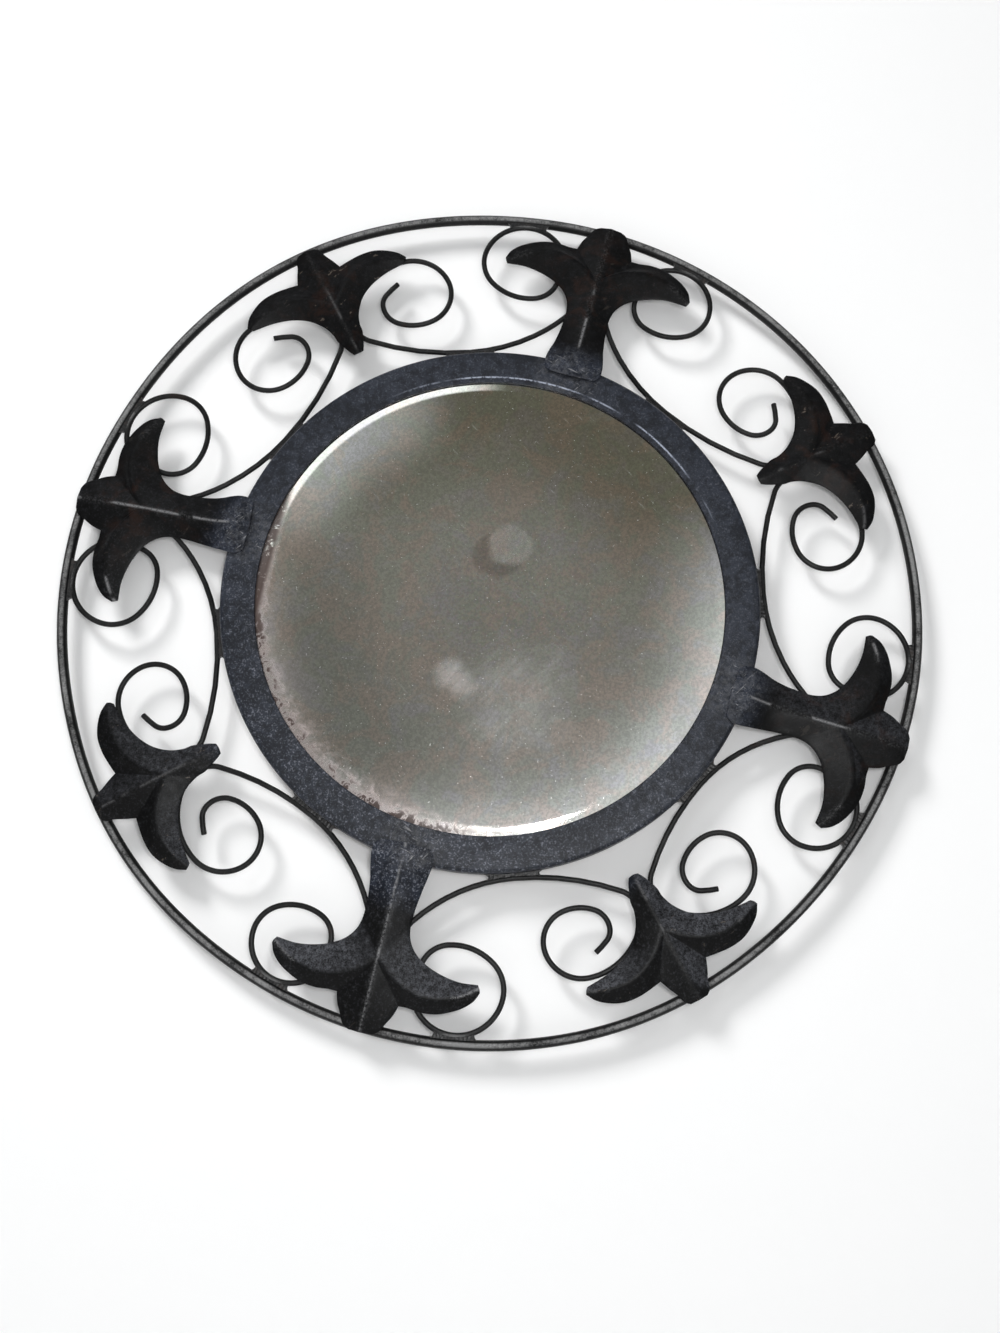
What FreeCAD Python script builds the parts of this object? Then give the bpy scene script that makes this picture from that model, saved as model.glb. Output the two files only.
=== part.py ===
import FreeCAD, Part
import math
import os

from FreeCAD import Vector

# Flower wall mirror: a round glass in a stamped rim, hung in a wrought iron wreath of
# scrolls and fleur-de-lis flowers inside a round bar.
# Millimetres. The wall is the plane Y = 0, the front faces -Y, +Z is up and the origin is
# the centre of the mirror on the wall. "Depth" is the distance in front of the wall.
# Angles are in degrees, clockwise from straight up as the viewer sees them.

# Outer bar
OUTER_DIAMETER = 508.0
ROD_DIAMETER = 6.0
# Where the hand-bent bar is out of round: the middle angle, the reach each way in degrees
# and the swell as a share of the bar's diameter.
RING_BEND_SHARES = ((331.0, 36.0, 0.53), (235.0, 24.0, 0.2), (132.0, 38.0, -0.48))
RING_STATIONS = 24
ROD_SIDES = 12

# Rim around the glass: its outside is a share of the whole, its face has a set width
RIM_SHARE = 0.622
RIM_FACE = 20.6
RIM_DEPTH = 11.0
RIM_SHEET = 1.5
RIM_SHOULDER = 2.6
SHOULDER_STEPS = 3
LIP_ROUND = 0.5

# Glass and backing
LIP_COVER = 5.1
GLASS_THICKNESS = 4.0
BEVEL_WIDTH = 11.0
BEVEL_DROP = 1.4
GLASS_GAP = 0.3
BOARD_INSET = 1.0
BOARD_THICKNESS = 3.0

# Clips that hold the glass and the board in the rim
CLIP_COUNT = 6
CLIP_FIRST_ANGLE = 30.0
CLIP_WIDTH = 14.0
CLIP_SHEET = 1.0
CLIP_FOOT = 8.0
CLIP_FINGER = 13.0
CLIP_BEND = 1.6
CLIP_GAP = 0.4

# Hanger plate behind the top of the rim
HANGER_WIDTH = 46.0
HANGER_CLEAR = 1.0
HANGER_SHEET = 1.5
HANGER_HOLE = 6.5
HANGER_CORNER = 4.0

# Scroll wire
WIRE_DIAMETER = 3.2
WIRE_SIDES = 6
BELLY_GAP = 1.2
LOOP_GAP = 0.1
WEB_DEPTH = 2.4
BELLY_WEB_SHARE = 0.378
RING_WEB_GAP = 3.0
WEB_END_SHARE = 0.6

# Flowers
FLOWER_SHEET = 1.2
FOOT_GAP = 0.15
PANEL_STEPS = 10
PETAL_SPAN_SHARE = 0.65
CREST_HEIGHT = 4.2
TACK_WIDTH = 9.0
TACK_REACH = 4.5
TACK_ROOT = 1.0

# The eight flowers: where each stands round the wreath and how far it leans clockwise.
# Long and short ones alternate, and the hand work is a few degrees uneven.
LONG_FLOWER_ANGLES = (18.0, 110.7, 197.2, 285.9)
LONG_FLOWER_LEANS = (-3.1, -2.8, -3.9, -5.2)
SHORT_FLOWER_ANGLES = (64.7, 153.2, 240.8, 333.0)
SHORT_FLOWER_LEANS = (1.5, -0.5, 1.3, 0.2)

# Values that follow from the sizes above
ROD_RADIUS = ROD_DIAMETER / 2
WIRE_RADIUS = WIRE_DIAMETER / 2
RING_RADIUS = OUTER_DIAMETER / 2 - ROD_RADIUS
RIM_RADIUS = OUTER_DIAMETER / 2 * RIM_SHARE
OPENING_RADIUS = RIM_RADIUS - RIM_FACE
GLASS_RADIUS = OPENING_RADIUS + LIP_COVER
BOARD_RADIUS = GLASS_RADIUS - BOARD_INSET
OPENWORK = RING_RADIUS - ROD_RADIUS - RIM_RADIUS
PETAL_HALF_SPAN = PETAL_SPAN_SHARE * OPENWORK
FRONT_OF_ROD = ROD_DIAMETER
WIRE_DEPTH = FRONT_OF_ROD - WIRE_RADIUS
LIP_BACK = RIM_DEPTH - RIM_SHEET
BEVEL_IN_SIGHT = OPENING_RADIUS - (GLASS_RADIUS - BEVEL_WIDTH)
GLASS_FRONT = LIP_BACK - GLASS_GAP + BEVEL_DROP * BEVEL_IN_SIGHT / BEVEL_WIDTH
GLASS_BACK = GLASS_FRONT - GLASS_THICKNESS
BOARD_BACK = GLASS_BACK - BOARD_THICKNESS
RIM_INSIDE = RIM_RADIUS - RIM_SHEET
HANGER_LOW = BOARD_RADIUS + HANGER_CLEAR
HANGER_HOLE_UP = (RIM_INSIDE + HANGER_LOW) / 2
CLIP_INNER = GLASS_RADIUS + CLIP_GAP
BELLY_RADIUS = RIM_RADIUS + WIRE_RADIUS + BELLY_GAP
WIRE_STEP = WIRE_DEPTH - ROD_RADIUS

def corner_radius(radius, sides):
    """The reach to the corners of a many-sided bar with a round bar's area."""
    return radius * math.sqrt(2 * math.pi / (sides * math.sin(2 * math.pi / sides)))


ROD_REACH = corner_radius(ROD_RADIUS, ROD_SIDES)
WIRE_REACH = corner_radius(WIRE_RADIUS, WIRE_SIDES)
LOOP_INSIDE_RING = LOOP_GAP + math.sqrt((ROD_REACH + WIRE_REACH) ** 2 - WIRE_STEP ** 2)

# A scroll leaves its belly towards each flower and curls up behind it. Each half is a chain
# of tangent arcs: the turn in degrees and the radius as a share of the openwork's width.
SCROLL_HEADING = 45.0
LOOP_ANGLE = 12.5
LONG_WAIST_SHARE = 0.303
LONG_NECK_SHARES = ((13.0, 1.111), (62.0, 0.178))
LONG_LOOP_TURN = 150.0
LONG_LOOP_SHARE = 0.283
LONG_CURL_SHARES = ((60.0, 0.233), (50.0, 0.356), (90.0, 0.189), (60.0, 0.111))
SHORT_WAIST_SHARE = 0.110
SHORT_CURL_SHARES = (
    (80.0, 0.194),
    (70.0, 0.463),
    (75.0, 0.27),
    (90.0, 0.228),
    (45.0, 0.311),
    (65.0, 0.156),
    (45.0, 0.111),
    (10.0, 0.667),
)

# How large each scroll's loop and curl came out by hand, as shares of the pattern above,
# clockwise from the scroll that follows the first long flower.
LOOP_SIZE_SHARES = (0.95, 0.96, 0.94, 1.0, 0.89, 1.02, 1.02, 1.0)
CURL_SIZE_SHARES = (0.96, 0.95, 0.91, 0.88, 0.93, 0.9, 1.0, 1.0)

# Flower outlines, right half: across as a share of the petals' half span, up as a share of
# the openwork's width from the rim's wall. The outline runs up the stem to the petal's tip,
# back over the petal to the notch, and round the middle petal.
LONG_STEM_SHARES = (
    (0.245, -0.094),
    (0.293, -0.055),
    (0.299, 0.0),
    (0.284, 0.055),
    (0.262, 0.115),
    (0.243, 0.19),
    (0.228, 0.3),
    (0.227, 0.39),
)
LONG_UNDER_PETAL_SHARES = (
    (0.258, 0.47),
    (0.34, 0.541),
    (0.465, 0.593),
    (0.62, 0.628),
    (0.79, 0.645),
    (0.978, 0.636),
)
LONG_OVER_PETAL_SHARES = (
    (1.0, 0.671),
    (0.968, 0.725),
    (0.89, 0.778),
    (0.77, 0.825),
    (0.65, 0.855),
    (0.51, 0.866),
    (0.38, 0.859),
    (0.296, 0.862),
)
LONG_TOP_PETAL_SHARES = ((0.296, 0.862), (0.265, 0.925), (0.214, 0.985), (0.165, 1.04), (0.105, 1.06))
LONG_RIDGE_SHARES = (
    (0.0, 0.622, 1.0),
    (0.12, 0.69, 1.0),
    (0.26, 0.742, 1.0),
    (0.45, 0.778, 0.93),
    (0.65, 0.768, 0.76),
    (0.84, 0.722, 0.5),
    (0.995, 0.652, 0.14),
)
LONG_CREST_SHARES = (
    (-0.103, 0.3),
    (-0.04, 0.42),
    (0.0, 0.48),
    (0.055, 0.56),
    (0.115, 0.66),
    (0.19, 0.76),
    (0.35, 0.86),
    (0.5, 0.92),
    (0.622, 1.0),
)
LONG_TOP_CREST_SHARES = ((0.622, 1.0), (0.75, 0.95), (0.87, 0.85), (0.97, 0.62), (1.066, 0.28))
SHORT_STEM_SHARES = ((0.045, 0.224), (0.075, 0.256), (0.105, 0.3), (0.138, 0.355), (0.147, 0.41))
SHORT_UNDER_PETAL_SHARES = (
    (0.192, 0.49),
    (0.305, 0.583),
    (0.46, 0.644),
    (0.65, 0.679),
    (0.88, 0.692),
)
SHORT_OVER_PETAL_SHARES = (
    (0.918, 0.722),
    (0.865, 0.777),
    (0.77, 0.827),
    (0.65, 0.865),
    (0.51, 0.878),
    (0.375, 0.873),
    (0.244, 0.862),
)
SHORT_TOP_PETAL_SHARES = ((0.244, 0.862), (0.205, 0.922), (0.158, 0.983), (0.128, 1.04), (0.085, 1.062))
SHORT_RIDGE_SHARES = (
    (0.0, 0.6, 0.95),
    (0.13, 0.68, 0.97),
    (0.27, 0.738, 0.95),
    (0.46, 0.775, 0.86),
    (0.65, 0.77, 0.7),
    (0.81, 0.738, 0.45),
    (0.905, 0.706, 0.16),
)
SHORT_CREST_SHARES = ((0.218, 0.2), (0.3, 0.55), (0.41, 0.76), (0.5, 0.86), (0.6, 0.95))
SHORT_TOP_CREST_SHARES = ((0.6, 0.95), (0.74, 0.9), (0.87, 0.8), (0.97, 0.6), (1.068, 0.28))
# The long stem leaves the rim's face at the rim's wall and comes down to the wreath here.
RAMP_END_SHARE = 0.18

AXIS = Vector(0, 1, 0)
ORIGIN = Vector(0, 0, 0)


def at(across, depth, up):
    """A point in front of the wall: right, depth, up."""
    return Vector(across, -depth, up)


def turned(shape, angle):
    """The shape turned clockwise about the mirror's centre."""
    copy = shape.copy()
    copy.rotate(ORIGIN, AXIS, angle)
    return copy


def flipped(shape):
    """The shape seen in a mirror across the vertical."""
    return shape.mirror(ORIGIN, Vector(1, 0, 0))


def revolve(outline):
    """A solid of revolution about the mirror's axis."""
    return Part.Face(outline).revolve(ORIGIN, AXIS, 360)


def line(start, end):
    """A straight edge."""
    return Part.LineSegment(start, end).toShape()


def arc(start, middle, end):
    """A round edge through three points."""
    return Part.Arc(start, middle, end).toShape()


def hump(angle, middle, spread):
    """A smooth hump from 0 to 1 and back, round one angle."""
    away = abs((angle - middle + 180.0) % 360.0 - 180.0)
    if away >= spread:
        return 0.0
    return (1 + math.cos(math.pi * away / spread)) / 2


def ring_radius(angle):
    """The bar's radius to its middle at an angle."""
    swell = sum(share * hump(angle, middle, spread) for middle, spread, share in RING_BEND_SHARES)
    return RING_RADIUS + swell * ROD_DIAMETER


def bar_section(centre, way, radius, sides):
    """The many-sided outline of a bar, square to the way it runs, with flats front and back."""
    reach = corner_radius(radius, sides)
    aside = way.cross(AXIS)
    corners = []
    for number in range(sides):
        turn = math.pi / 2 + math.pi * (2 * number + 1) / sides
        corners.append(centre + aside * (reach * math.cos(turn)) + AXIS * (reach * math.sin(turn)))
    return Part.makePolygon(corners + corners[:1])


def tangent_arc(start, way, end):
    """The arc between two points that leaves the first one in the given direction."""
    chord = end - start
    along = way.dot(chord) / chord.Length
    aside = way - chord * (along / chord.Length)
    return arc(start, (start + end) / 2 + aside * (chord.Length / 2 / (1 + along)), end)


def two_arcs(start, way, end, end_way):
    """Two arcs from one point and direction to another, meeting smoothly half-way."""
    chord = end - start
    spread = 2 * (1 - way.dot(end_way))
    along = chord.dot(way + end_way)
    reach = (math.sqrt(along ** 2 + spread * chord.dot(chord)) - along) / spread
    joint = (start + end) / 2 + (way - end_way) * (reach / 2)
    joint_way = (end - end_way * reach) - (start + way * reach)
    return [tangent_arc(start, way, joint), tangent_arc(joint, joint_way.normalize(), end)]


def ring_point(step):
    """A point on the bar's middle line."""
    angle = 360.0 * step / RING_STATIONS
    radius = ring_radius(angle)
    turn = math.radians(angle)
    return at(radius * math.sin(turn), ROD_RADIUS, radius * math.cos(turn))


def outer_ring():
    """The round bar, bent by hand a few millimetres out of round."""
    points = [ring_point(step) for step in range(RING_STATIONS)]
    ways = []
    for step in range(RING_STATIONS):
        ways.append((points[(step + 1) % RING_STATIONS] - points[step - 1]).normalize())
    edges = []
    for step in range(RING_STATIONS):
        follows = (step + 1) % RING_STATIONS
        edges += two_arcs(points[step], ways[step], points[follows], ways[follows])
    section = bar_section(points[0], ways[0], ROD_RADIUS, ROD_SIDES)
    return Part.Wire(edges).makePipeShell([section], True, False)


def shoulder(radius):
    """Points round the rim's shoulder, from its face to its wall."""
    points = []
    for step in range(SHOULDER_STEPS + 1):
        turn = math.pi / 2 * step / SHOULDER_STEPS
        across = RIM_RADIUS - RIM_SHOULDER + radius * math.sin(turn)
        points.append(at(across, RIM_DEPTH - RIM_SHOULDER + radius * math.cos(turn), 0))
    return points


def mirror_rim():
    """The stamped rim: a flat face, a rounded shoulder and a wall back to the wall plane."""
    outline = [
        at(OPENING_RADIUS, LIP_BACK, 0),
        at(OPENING_RADIUS, RIM_DEPTH - LIP_ROUND, 0),
        at(OPENING_RADIUS + LIP_ROUND, RIM_DEPTH, 0),
    ]
    outline += shoulder(RIM_SHOULDER)
    outline += [at(RIM_RADIUS, 0, 0), at(RIM_INSIDE, 0, 0)]
    outline += reversed(shoulder(RIM_SHOULDER - RIM_SHEET))
    return revolve(Part.makePolygon(outline + outline[:1]))


def mirror_glass():
    """The round glass with its ground bevel."""
    flat = GLASS_RADIUS - BEVEL_WIDTH
    corners = [
        at(0, GLASS_BACK, 0),
        at(0, GLASS_FRONT, 0),
        at(flat, GLASS_FRONT, 0),
        at(GLASS_RADIUS, GLASS_FRONT - BEVEL_DROP, 0),
        at(GLASS_RADIUS, GLASS_BACK, 0),
    ]
    return revolve(Part.makePolygon(corners + corners[:1]))


def backing_board():
    """The hardboard disc behind the glass."""
    return Part.makeCylinder(BOARD_RADIUS, BOARD_THICKNESS, at(0, BOARD_BACK, 0), -AXIS)


def clip_section():
    """The clip's strip seen from its side: foot under the face, leg, finger over the board."""
    finger_back = BOARD_BACK - CLIP_SHEET
    leg_out = CLIP_INNER + CLIP_SHEET
    foot_end = leg_out + CLIP_FOOT
    finger_end = CLIP_INNER - CLIP_FINGER
    foot_under = LIP_BACK - CLIP_SHEET
    outer_bend = CLIP_BEND * math.cos(math.radians(45))
    inner = CLIP_BEND - CLIP_SHEET
    inner_bend = inner * math.cos(math.radians(45))
    bend_at = leg_out - CLIP_BEND
    rise_at = finger_back + CLIP_BEND
    edges = [
        line(at(0, LIP_BACK, CLIP_INNER), at(0, LIP_BACK, foot_end)),
        line(at(0, LIP_BACK, foot_end), at(0, foot_under, foot_end)),
        line(at(0, foot_under, foot_end), at(0, foot_under, leg_out)),
        line(at(0, foot_under, leg_out), at(0, rise_at, leg_out)),
        arc(
            at(0, rise_at, leg_out),
            at(0, rise_at - outer_bend, bend_at + outer_bend),
            at(0, finger_back, bend_at),
        ),
        line(at(0, finger_back, bend_at), at(0, finger_back, finger_end)),
        line(at(0, finger_back, finger_end), at(0, BOARD_BACK, finger_end)),
        line(at(0, BOARD_BACK, finger_end), at(0, BOARD_BACK, bend_at)),
        arc(
            at(0, BOARD_BACK, bend_at),
            at(0, rise_at - inner_bend, bend_at + inner_bend),
            at(0, rise_at, CLIP_INNER),
        ),
        line(at(0, rise_at, CLIP_INNER), at(0, LIP_BACK, CLIP_INNER)),
    ]
    return Part.Face(Part.Wire(edges))


def retaining_clip(angle):
    """One bent clip, welded under the rim's face and folded over the board."""
    strip = clip_section().extrude(Vector(CLIP_WIDTH, 0, 0))
    strip.translate(Vector(-CLIP_WIDTH / 2, 0, 0))
    return turned(strip, angle)


def hanger_plate():
    """The flat plate welded inside the rim's wall at the top, with the hole for the wall hook."""
    blank = Part.makeBox(
        HANGER_WIDTH, HANGER_SHEET, RIM_INSIDE - HANGER_LOW,
        Vector(-HANGER_WIDTH / 2, -HANGER_SHEET, HANGER_LOW),
    )
    lower = [
        edge for edge in blank.Edges
        if edge.BoundBox.YLength > HANGER_SHEET / 2 and edge.BoundBox.ZMax < HANGER_HOLE_UP
    ]
    blank = blank.makeFillet(HANGER_CORNER, lower)
    blank = blank.common(Part.makeCylinder(RIM_INSIDE, HANGER_SHEET, ORIGIN, -AXIS))
    hole = Part.makeCylinder(
        HANGER_HOLE / 2, 2 * HANGER_SHEET, at(0, -HANGER_SHEET / 2, HANGER_HOLE_UP), -AXIS
    )
    return blank.cut(hole)


def travel(state, turn, radius):
    """One arc of a scroll, turning left: returns its edge and where and how it ends."""
    across, up, heading = state
    ends = []
    for angle in (heading, heading + turn / 2, heading + turn):
        ends.append((
            across + radius * (math.sin(math.radians(angle)) - math.sin(math.radians(heading))),
            up - radius * (math.cos(math.radians(angle)) - math.cos(math.radians(heading))),
        ))
    points = [at(x, WIRE_DEPTH, z) for x, z in ends]
    return arc(*points), (ends[2][0], ends[2][1], heading + turn)


def belly_radius(half_gap, waist_share):
    """The belly's radius that brings the wire to its flower's waist at the set heading."""
    lean = math.sin(math.radians(half_gap))
    reach = math.sin(math.radians(SCROLL_HEADING)) - lean
    return (BELLY_RADIUS * lean - waist_share * OPENWORK) / reach


def long_half(half_gap, touch_radius, size):
    """The half of a scroll that ends at a long flower: its edges, end and loop centre."""
    radius = belly_radius(half_gap, LONG_WAIST_SHARE)
    edges = []
    edge, state = travel((0.0, BELLY_RADIUS, 0.0), SCROLL_HEADING - half_gap, radius)
    edges.append(edge)
    for turn, share in LONG_NECK_SHARES:
        edge, state = travel(state, turn, share * OPENWORK)
        edges.append(edge)
    loop = LONG_LOOP_SHARE * OPENWORK * size
    across, up, heading = state
    way = (math.cos(math.radians(heading)), math.sin(math.radians(heading)))
    centre = (across - loop * way[1], up + loop * way[0])
    along = centre[0] * way[0] + centre[1] * way[1]
    target = touch_radius - loop
    run = math.sqrt(along ** 2 - centre[0] ** 2 - centre[1] ** 2 + target ** 2) - along
    end = (across + run * way[0], up + run * way[1])
    edges.append(line(at(across, WIRE_DEPTH, up), at(end[0], WIRE_DEPTH, end[1])))
    state = (end[0], end[1], heading)
    centre = (centre[0] + run * way[0], centre[1] + run * way[1])
    edge, state = travel(state, LONG_LOOP_TURN, loop)
    edges.append(edge)
    for turn, share in LONG_CURL_SHARES:
        edge, state = travel(state, turn, share * OPENWORK * size)
        edges.append(edge)
    return edges, state, centre


def short_half(half_gap, size):
    """The half of a scroll that ends at a short flower, with its free inner end."""
    edges = []
    radius = belly_radius(half_gap, SHORT_WAIST_SHARE)
    edge, state = travel((0.0, BELLY_RADIUS, 0.0), SCROLL_HEADING - half_gap, radius)
    edges.append(edge)
    for turn, share in SHORT_CURL_SHARES:
        edge, state = travel(state, turn, share * OPENWORK * size)
        edges.append(edge)
    return edges


def scroll_wire(half_gap, touch_radius, loop_size, curl_size):
    """A whole C-scroll as a round wire, its long end to the right, belly at the bottom."""
    long_edges, state, centre = long_half(half_gap, touch_radius, loop_size)
    short_edges = short_half(half_gap, curl_size)
    mirrored = [flipped(edge) for edge in short_edges]
    path = Part.Wire(Part.__sortEdges__(long_edges + mirrored))
    across, up, heading = state
    way = Vector(math.cos(math.radians(heading)), 0, math.sin(math.radians(heading)))
    section = bar_section(at(across, WIRE_DEPTH, up), way, WIRE_RADIUS, WIRE_SIDES)
    return path.makePipeShell([section], True, False), centre


def slab(radius, across, up, front, back):
    """A round slab between two depths, to add or cut."""
    return Part.makeCylinder(radius, front - back, at(across, back, up), -AXIS)


def half_space(side, half_length, up):
    """A block on one side of the middle, as long as half a weld."""
    start = 0.0 if side > 0 else -half_length
    return Part.makeBox(
        half_length, RIM_DEPTH, RING_RADIUS - up, Vector(start, -RIM_DEPTH, up)
    )


def web_end(across, low, high, front, back):
    """The round hollow at a web's end, between the two bars that the weld joins."""
    return slab((high - low) * WEB_END_SHARE, across, (low + high) / 2, front, back)


def belly_web(half_gap, wire):
    """The weld that fills the gap between a scroll's belly and the rim's wall."""
    front = WIRE_DEPTH + WEB_DEPTH / 2
    back = WIRE_DEPTH - WEB_DEPTH / 2
    half = BELLY_WEB_SHARE * OPENWORK / 2
    solids = []
    for side, share in ((1, LONG_WAIST_SHARE), (-1, SHORT_WAIST_SHARE)):
        radius = belly_radius(half_gap, share)
        body = slab(BELLY_RADIUS + OPENWORK / 4, 0, 0, front, back).cut(slab(RIM_RADIUS, 0, 0, front, back))
        body = body.common(half_space(side, half, 0))
        body = body.cut(slab(radius, 0, BELLY_RADIUS + radius, front, back))
        wall = math.sqrt(RIM_RADIUS ** 2 - half ** 2)
        bar = BELLY_RADIUS - WIRE_RADIUS + radius - math.sqrt(radius ** 2 - half ** 2)
        solids.append(body.cut(web_end(side * half, wall, bar, front, back)))
    web = solids[0].fuse(solids[1]).removeSplitter().cut(wire)
    return largest_solid(web)


def ring_web(centre, loop, wire, ring):
    """The welds in the two corners where a scroll's loop meets the outer bar.

    They run out to where the gap between the two bars' middles has grown by the set width.
    """
    front = WIRE_DEPTH + WEB_DEPTH / 2
    back = WIRE_DEPTH - WEB_DEPTH / 2
    angle = math.degrees(math.atan2(centre[0], centre[1]))
    reach = math.hypot(centre[0], centre[1])
    half = math.sqrt(2 * RING_WEB_GAP / (1 / loop - 1 / RING_RADIUS))
    body = slab(RING_RADIUS, 0, 0, front, back).cut(slab(loop, 0, reach, front, back))
    body = body.common(Part.makeBox(2 * half, RIM_DEPTH, loop, Vector(-half, -RIM_DEPTH, reach)))
    return turned(body, angle).cut(wire).cut(ring)


def largest_solid(shape):
    """The biggest solid of a cut shape, without its crumbs."""
    return max(shape.Solids, key=lambda solid: solid.Volume)


def rest_height(up_share, stem_rests_on_rim):
    """How far the flower's edge stands off the wall at this height up the flower."""
    if not stem_rests_on_rim or up_share >= RAMP_END_SHARE:
        return FRONT_OF_ROD
    fall = max(0.0, up_share / RAMP_END_SHARE)
    ease = fall * fall * (3 - 2 * fall)
    on_face = RIM_DEPTH + FOOT_GAP
    return on_face + (FRONT_OF_ROD - on_face) * ease


def rail(shares, side, on_rim):
    """A smooth edge of the sheet through (across, up) or (across, up, ridge) shares."""
    points = []
    for entry in shares:
        ridge = entry[2] if len(entry) > 2 else 0.0
        depth = rest_height(entry[1], on_rim) + ridge * CREST_HEIGHT
        points.append(at(side * entry[0] * PETAL_HALF_SPAN, depth, RIM_RADIUS + entry[1] * OPENWORK))
    curve = Part.BSplineCurve()
    curve.interpolate(points)
    return curve


def marks(edge):
    """The points along an edge or curve where the sheet's flat panels begin and end."""
    return edge.discretize(Number=PANEL_STEPS + 1)


def split_rail(stem_shares, petal_shares, side, on_rim):
    """The marks of one smooth edge up the stem and out along the petal, parted at the stem's top."""
    curve = rail(stem_shares + petal_shares, side, on_rim)
    top = stem_shares[-1]
    point = at(
        side * top[0] * PETAL_HALF_SPAN, rest_height(top[1], on_rim), RIM_RADIUS + top[1] * OPENWORK
    )
    cut = curve.parameter(point)
    stem = marks(curve.toShape(curve.FirstParameter, cut))
    return stem, marks(curve.toShape(cut, curve.LastParameter))


def panel(*corners):
    """One flat piece of the sheet's skin."""
    return Part.Face(Part.makePolygon(list(corners) + [corners[0]]))


def facet(crease, edge):
    """The panels between a crease and an edge of the sheet, two at each step."""
    panels = []
    for step in range(PANEL_STEPS):
        panels.append(panel(crease[step], edge[step], edge[step + 1]))
        panels.append(panel(crease[step], edge[step + 1], crease[step + 1]))
    return panels


def flower(stem, under, over, top, ridge, crest, top_crest, on_rim):
    """A pressed fleur-de-lis: eight folded facets between its edges and its creases."""
    back = []
    border = []
    for side in (1, -1):
        crest_marks = marks(rail([(0.0, up, height) for up, height in crest], side, on_rim))
        top_crest_marks = marks(rail([(0.0, up, height) for up, height in top_crest], side, on_rim))
        ridge_marks = marks(rail(ridge, side, on_rim))
        stem_marks, under_marks = split_rail(stem, under, side, on_rim)
        over_marks = marks(rail(over, side, on_rim))
        over_marks.reverse()
        top_marks = marks(rail(top, side, on_rim))
        back += facet(crest_marks, stem_marks)
        back += facet(ridge_marks, under_marks)
        back += facet(ridge_marks, over_marks)
        back += facet(top_crest_marks, top_marks)
        loop = [crest_marks[0]] + stem_marks + under_marks[1:] + [ridge_marks[-1]]
        loop += over_marks[::-1] + top_marks[1:] + [top_crest_marks[-1]]
        border += list(zip(loop, loop[1:]))
    lift = Vector(0, -FLOWER_SHEET, 0)
    faces = list(back)
    for face in back:
        front = face.copy()
        front.translate(lift)
        faces.append(front)
    for start, end in border:
        faces.append(panel(start, end, end + lift, start + lift))
    skin = Part.Compound(faces)
    skin.sewShape()
    solid = Part.Solid(skin.Shells[0])
    if solid.Volume < 0:
        solid.reverse()
    return solid


def leaning(shape, lean, waist_share):
    """The flower tipped about its waist, as it was welded in by eye."""
    copy = shape.copy()
    copy.rotate(at(0, 0, RIM_RADIUS + waist_share * OPENWORK), AXIS, lean)
    return copy


def long_flower():
    """A flower whose stem steps up onto the rim's face."""
    return flower(
        LONG_STEM_SHARES, LONG_UNDER_PETAL_SHARES, LONG_OVER_PETAL_SHARES, LONG_TOP_PETAL_SHARES,
        LONG_RIDGE_SHARES, LONG_CREST_SHARES, LONG_TOP_CREST_SHARES, True,
    )


def short_flower():
    """A flower with a stub of a stem that ends where its two scrolls meet."""
    return flower(
        SHORT_STEM_SHARES, SHORT_UNDER_PETAL_SHARES, SHORT_OVER_PETAL_SHARES, SHORT_TOP_PETAL_SHARES,
        SHORT_RIDGE_SHARES, SHORT_CREST_SHARES, SHORT_TOP_CREST_SHARES, False,
    )


def petal_tack(bloom, ring):
    """The tack weld behind a middle petal, in the corner between the sheet and the bar."""
    up = RING_RADIUS - ROD_RADIUS - TACK_REACH
    block = Part.makeBox(
        TACK_WIDTH, CREST_HEIGHT + ROD_RADIUS, TACK_REACH + ROD_RADIUS,
        Vector(-TACK_WIDTH / 2, -(CREST_HEIGHT + ROD_DIAMETER), up),
    )
    slope = Part.Face(Part.makePolygon([
        at(-TACK_WIDTH, ROD_RADIUS, up),
        at(-TACK_WIDTH, ROD_RADIUS, RING_RADIUS),
        at(-TACK_WIDTH, FRONT_OF_ROD + TACK_ROOT, up),
        at(-TACK_WIDTH, ROD_RADIUS, up),
    ])).extrude(Vector(2 * TACK_WIDTH, 0, 0))
    bead = block.cut(slope).cut(ring).cut(bloom)
    behind = [solid for solid in bead.Solids if solid.BoundBox.YMax > -FRONT_OF_ROD]
    return max(behind, key=lambda solid: solid.Volume)


def placed_tack(bloom, angle, ring):
    """A flower's tack weld where that flower stands."""
    return turned(petal_tack(bloom, turned(ring, -angle)), angle)


def export(shape, name):
    """Writes one sub-part."""
    if not shape.isValid():
        print("not valid:", name)
    shape.exportStep("parts/" + name + ".step")
    print(name, "solids", len(shape.Solids), "volume", round(shape.Volume, 1))


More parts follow.
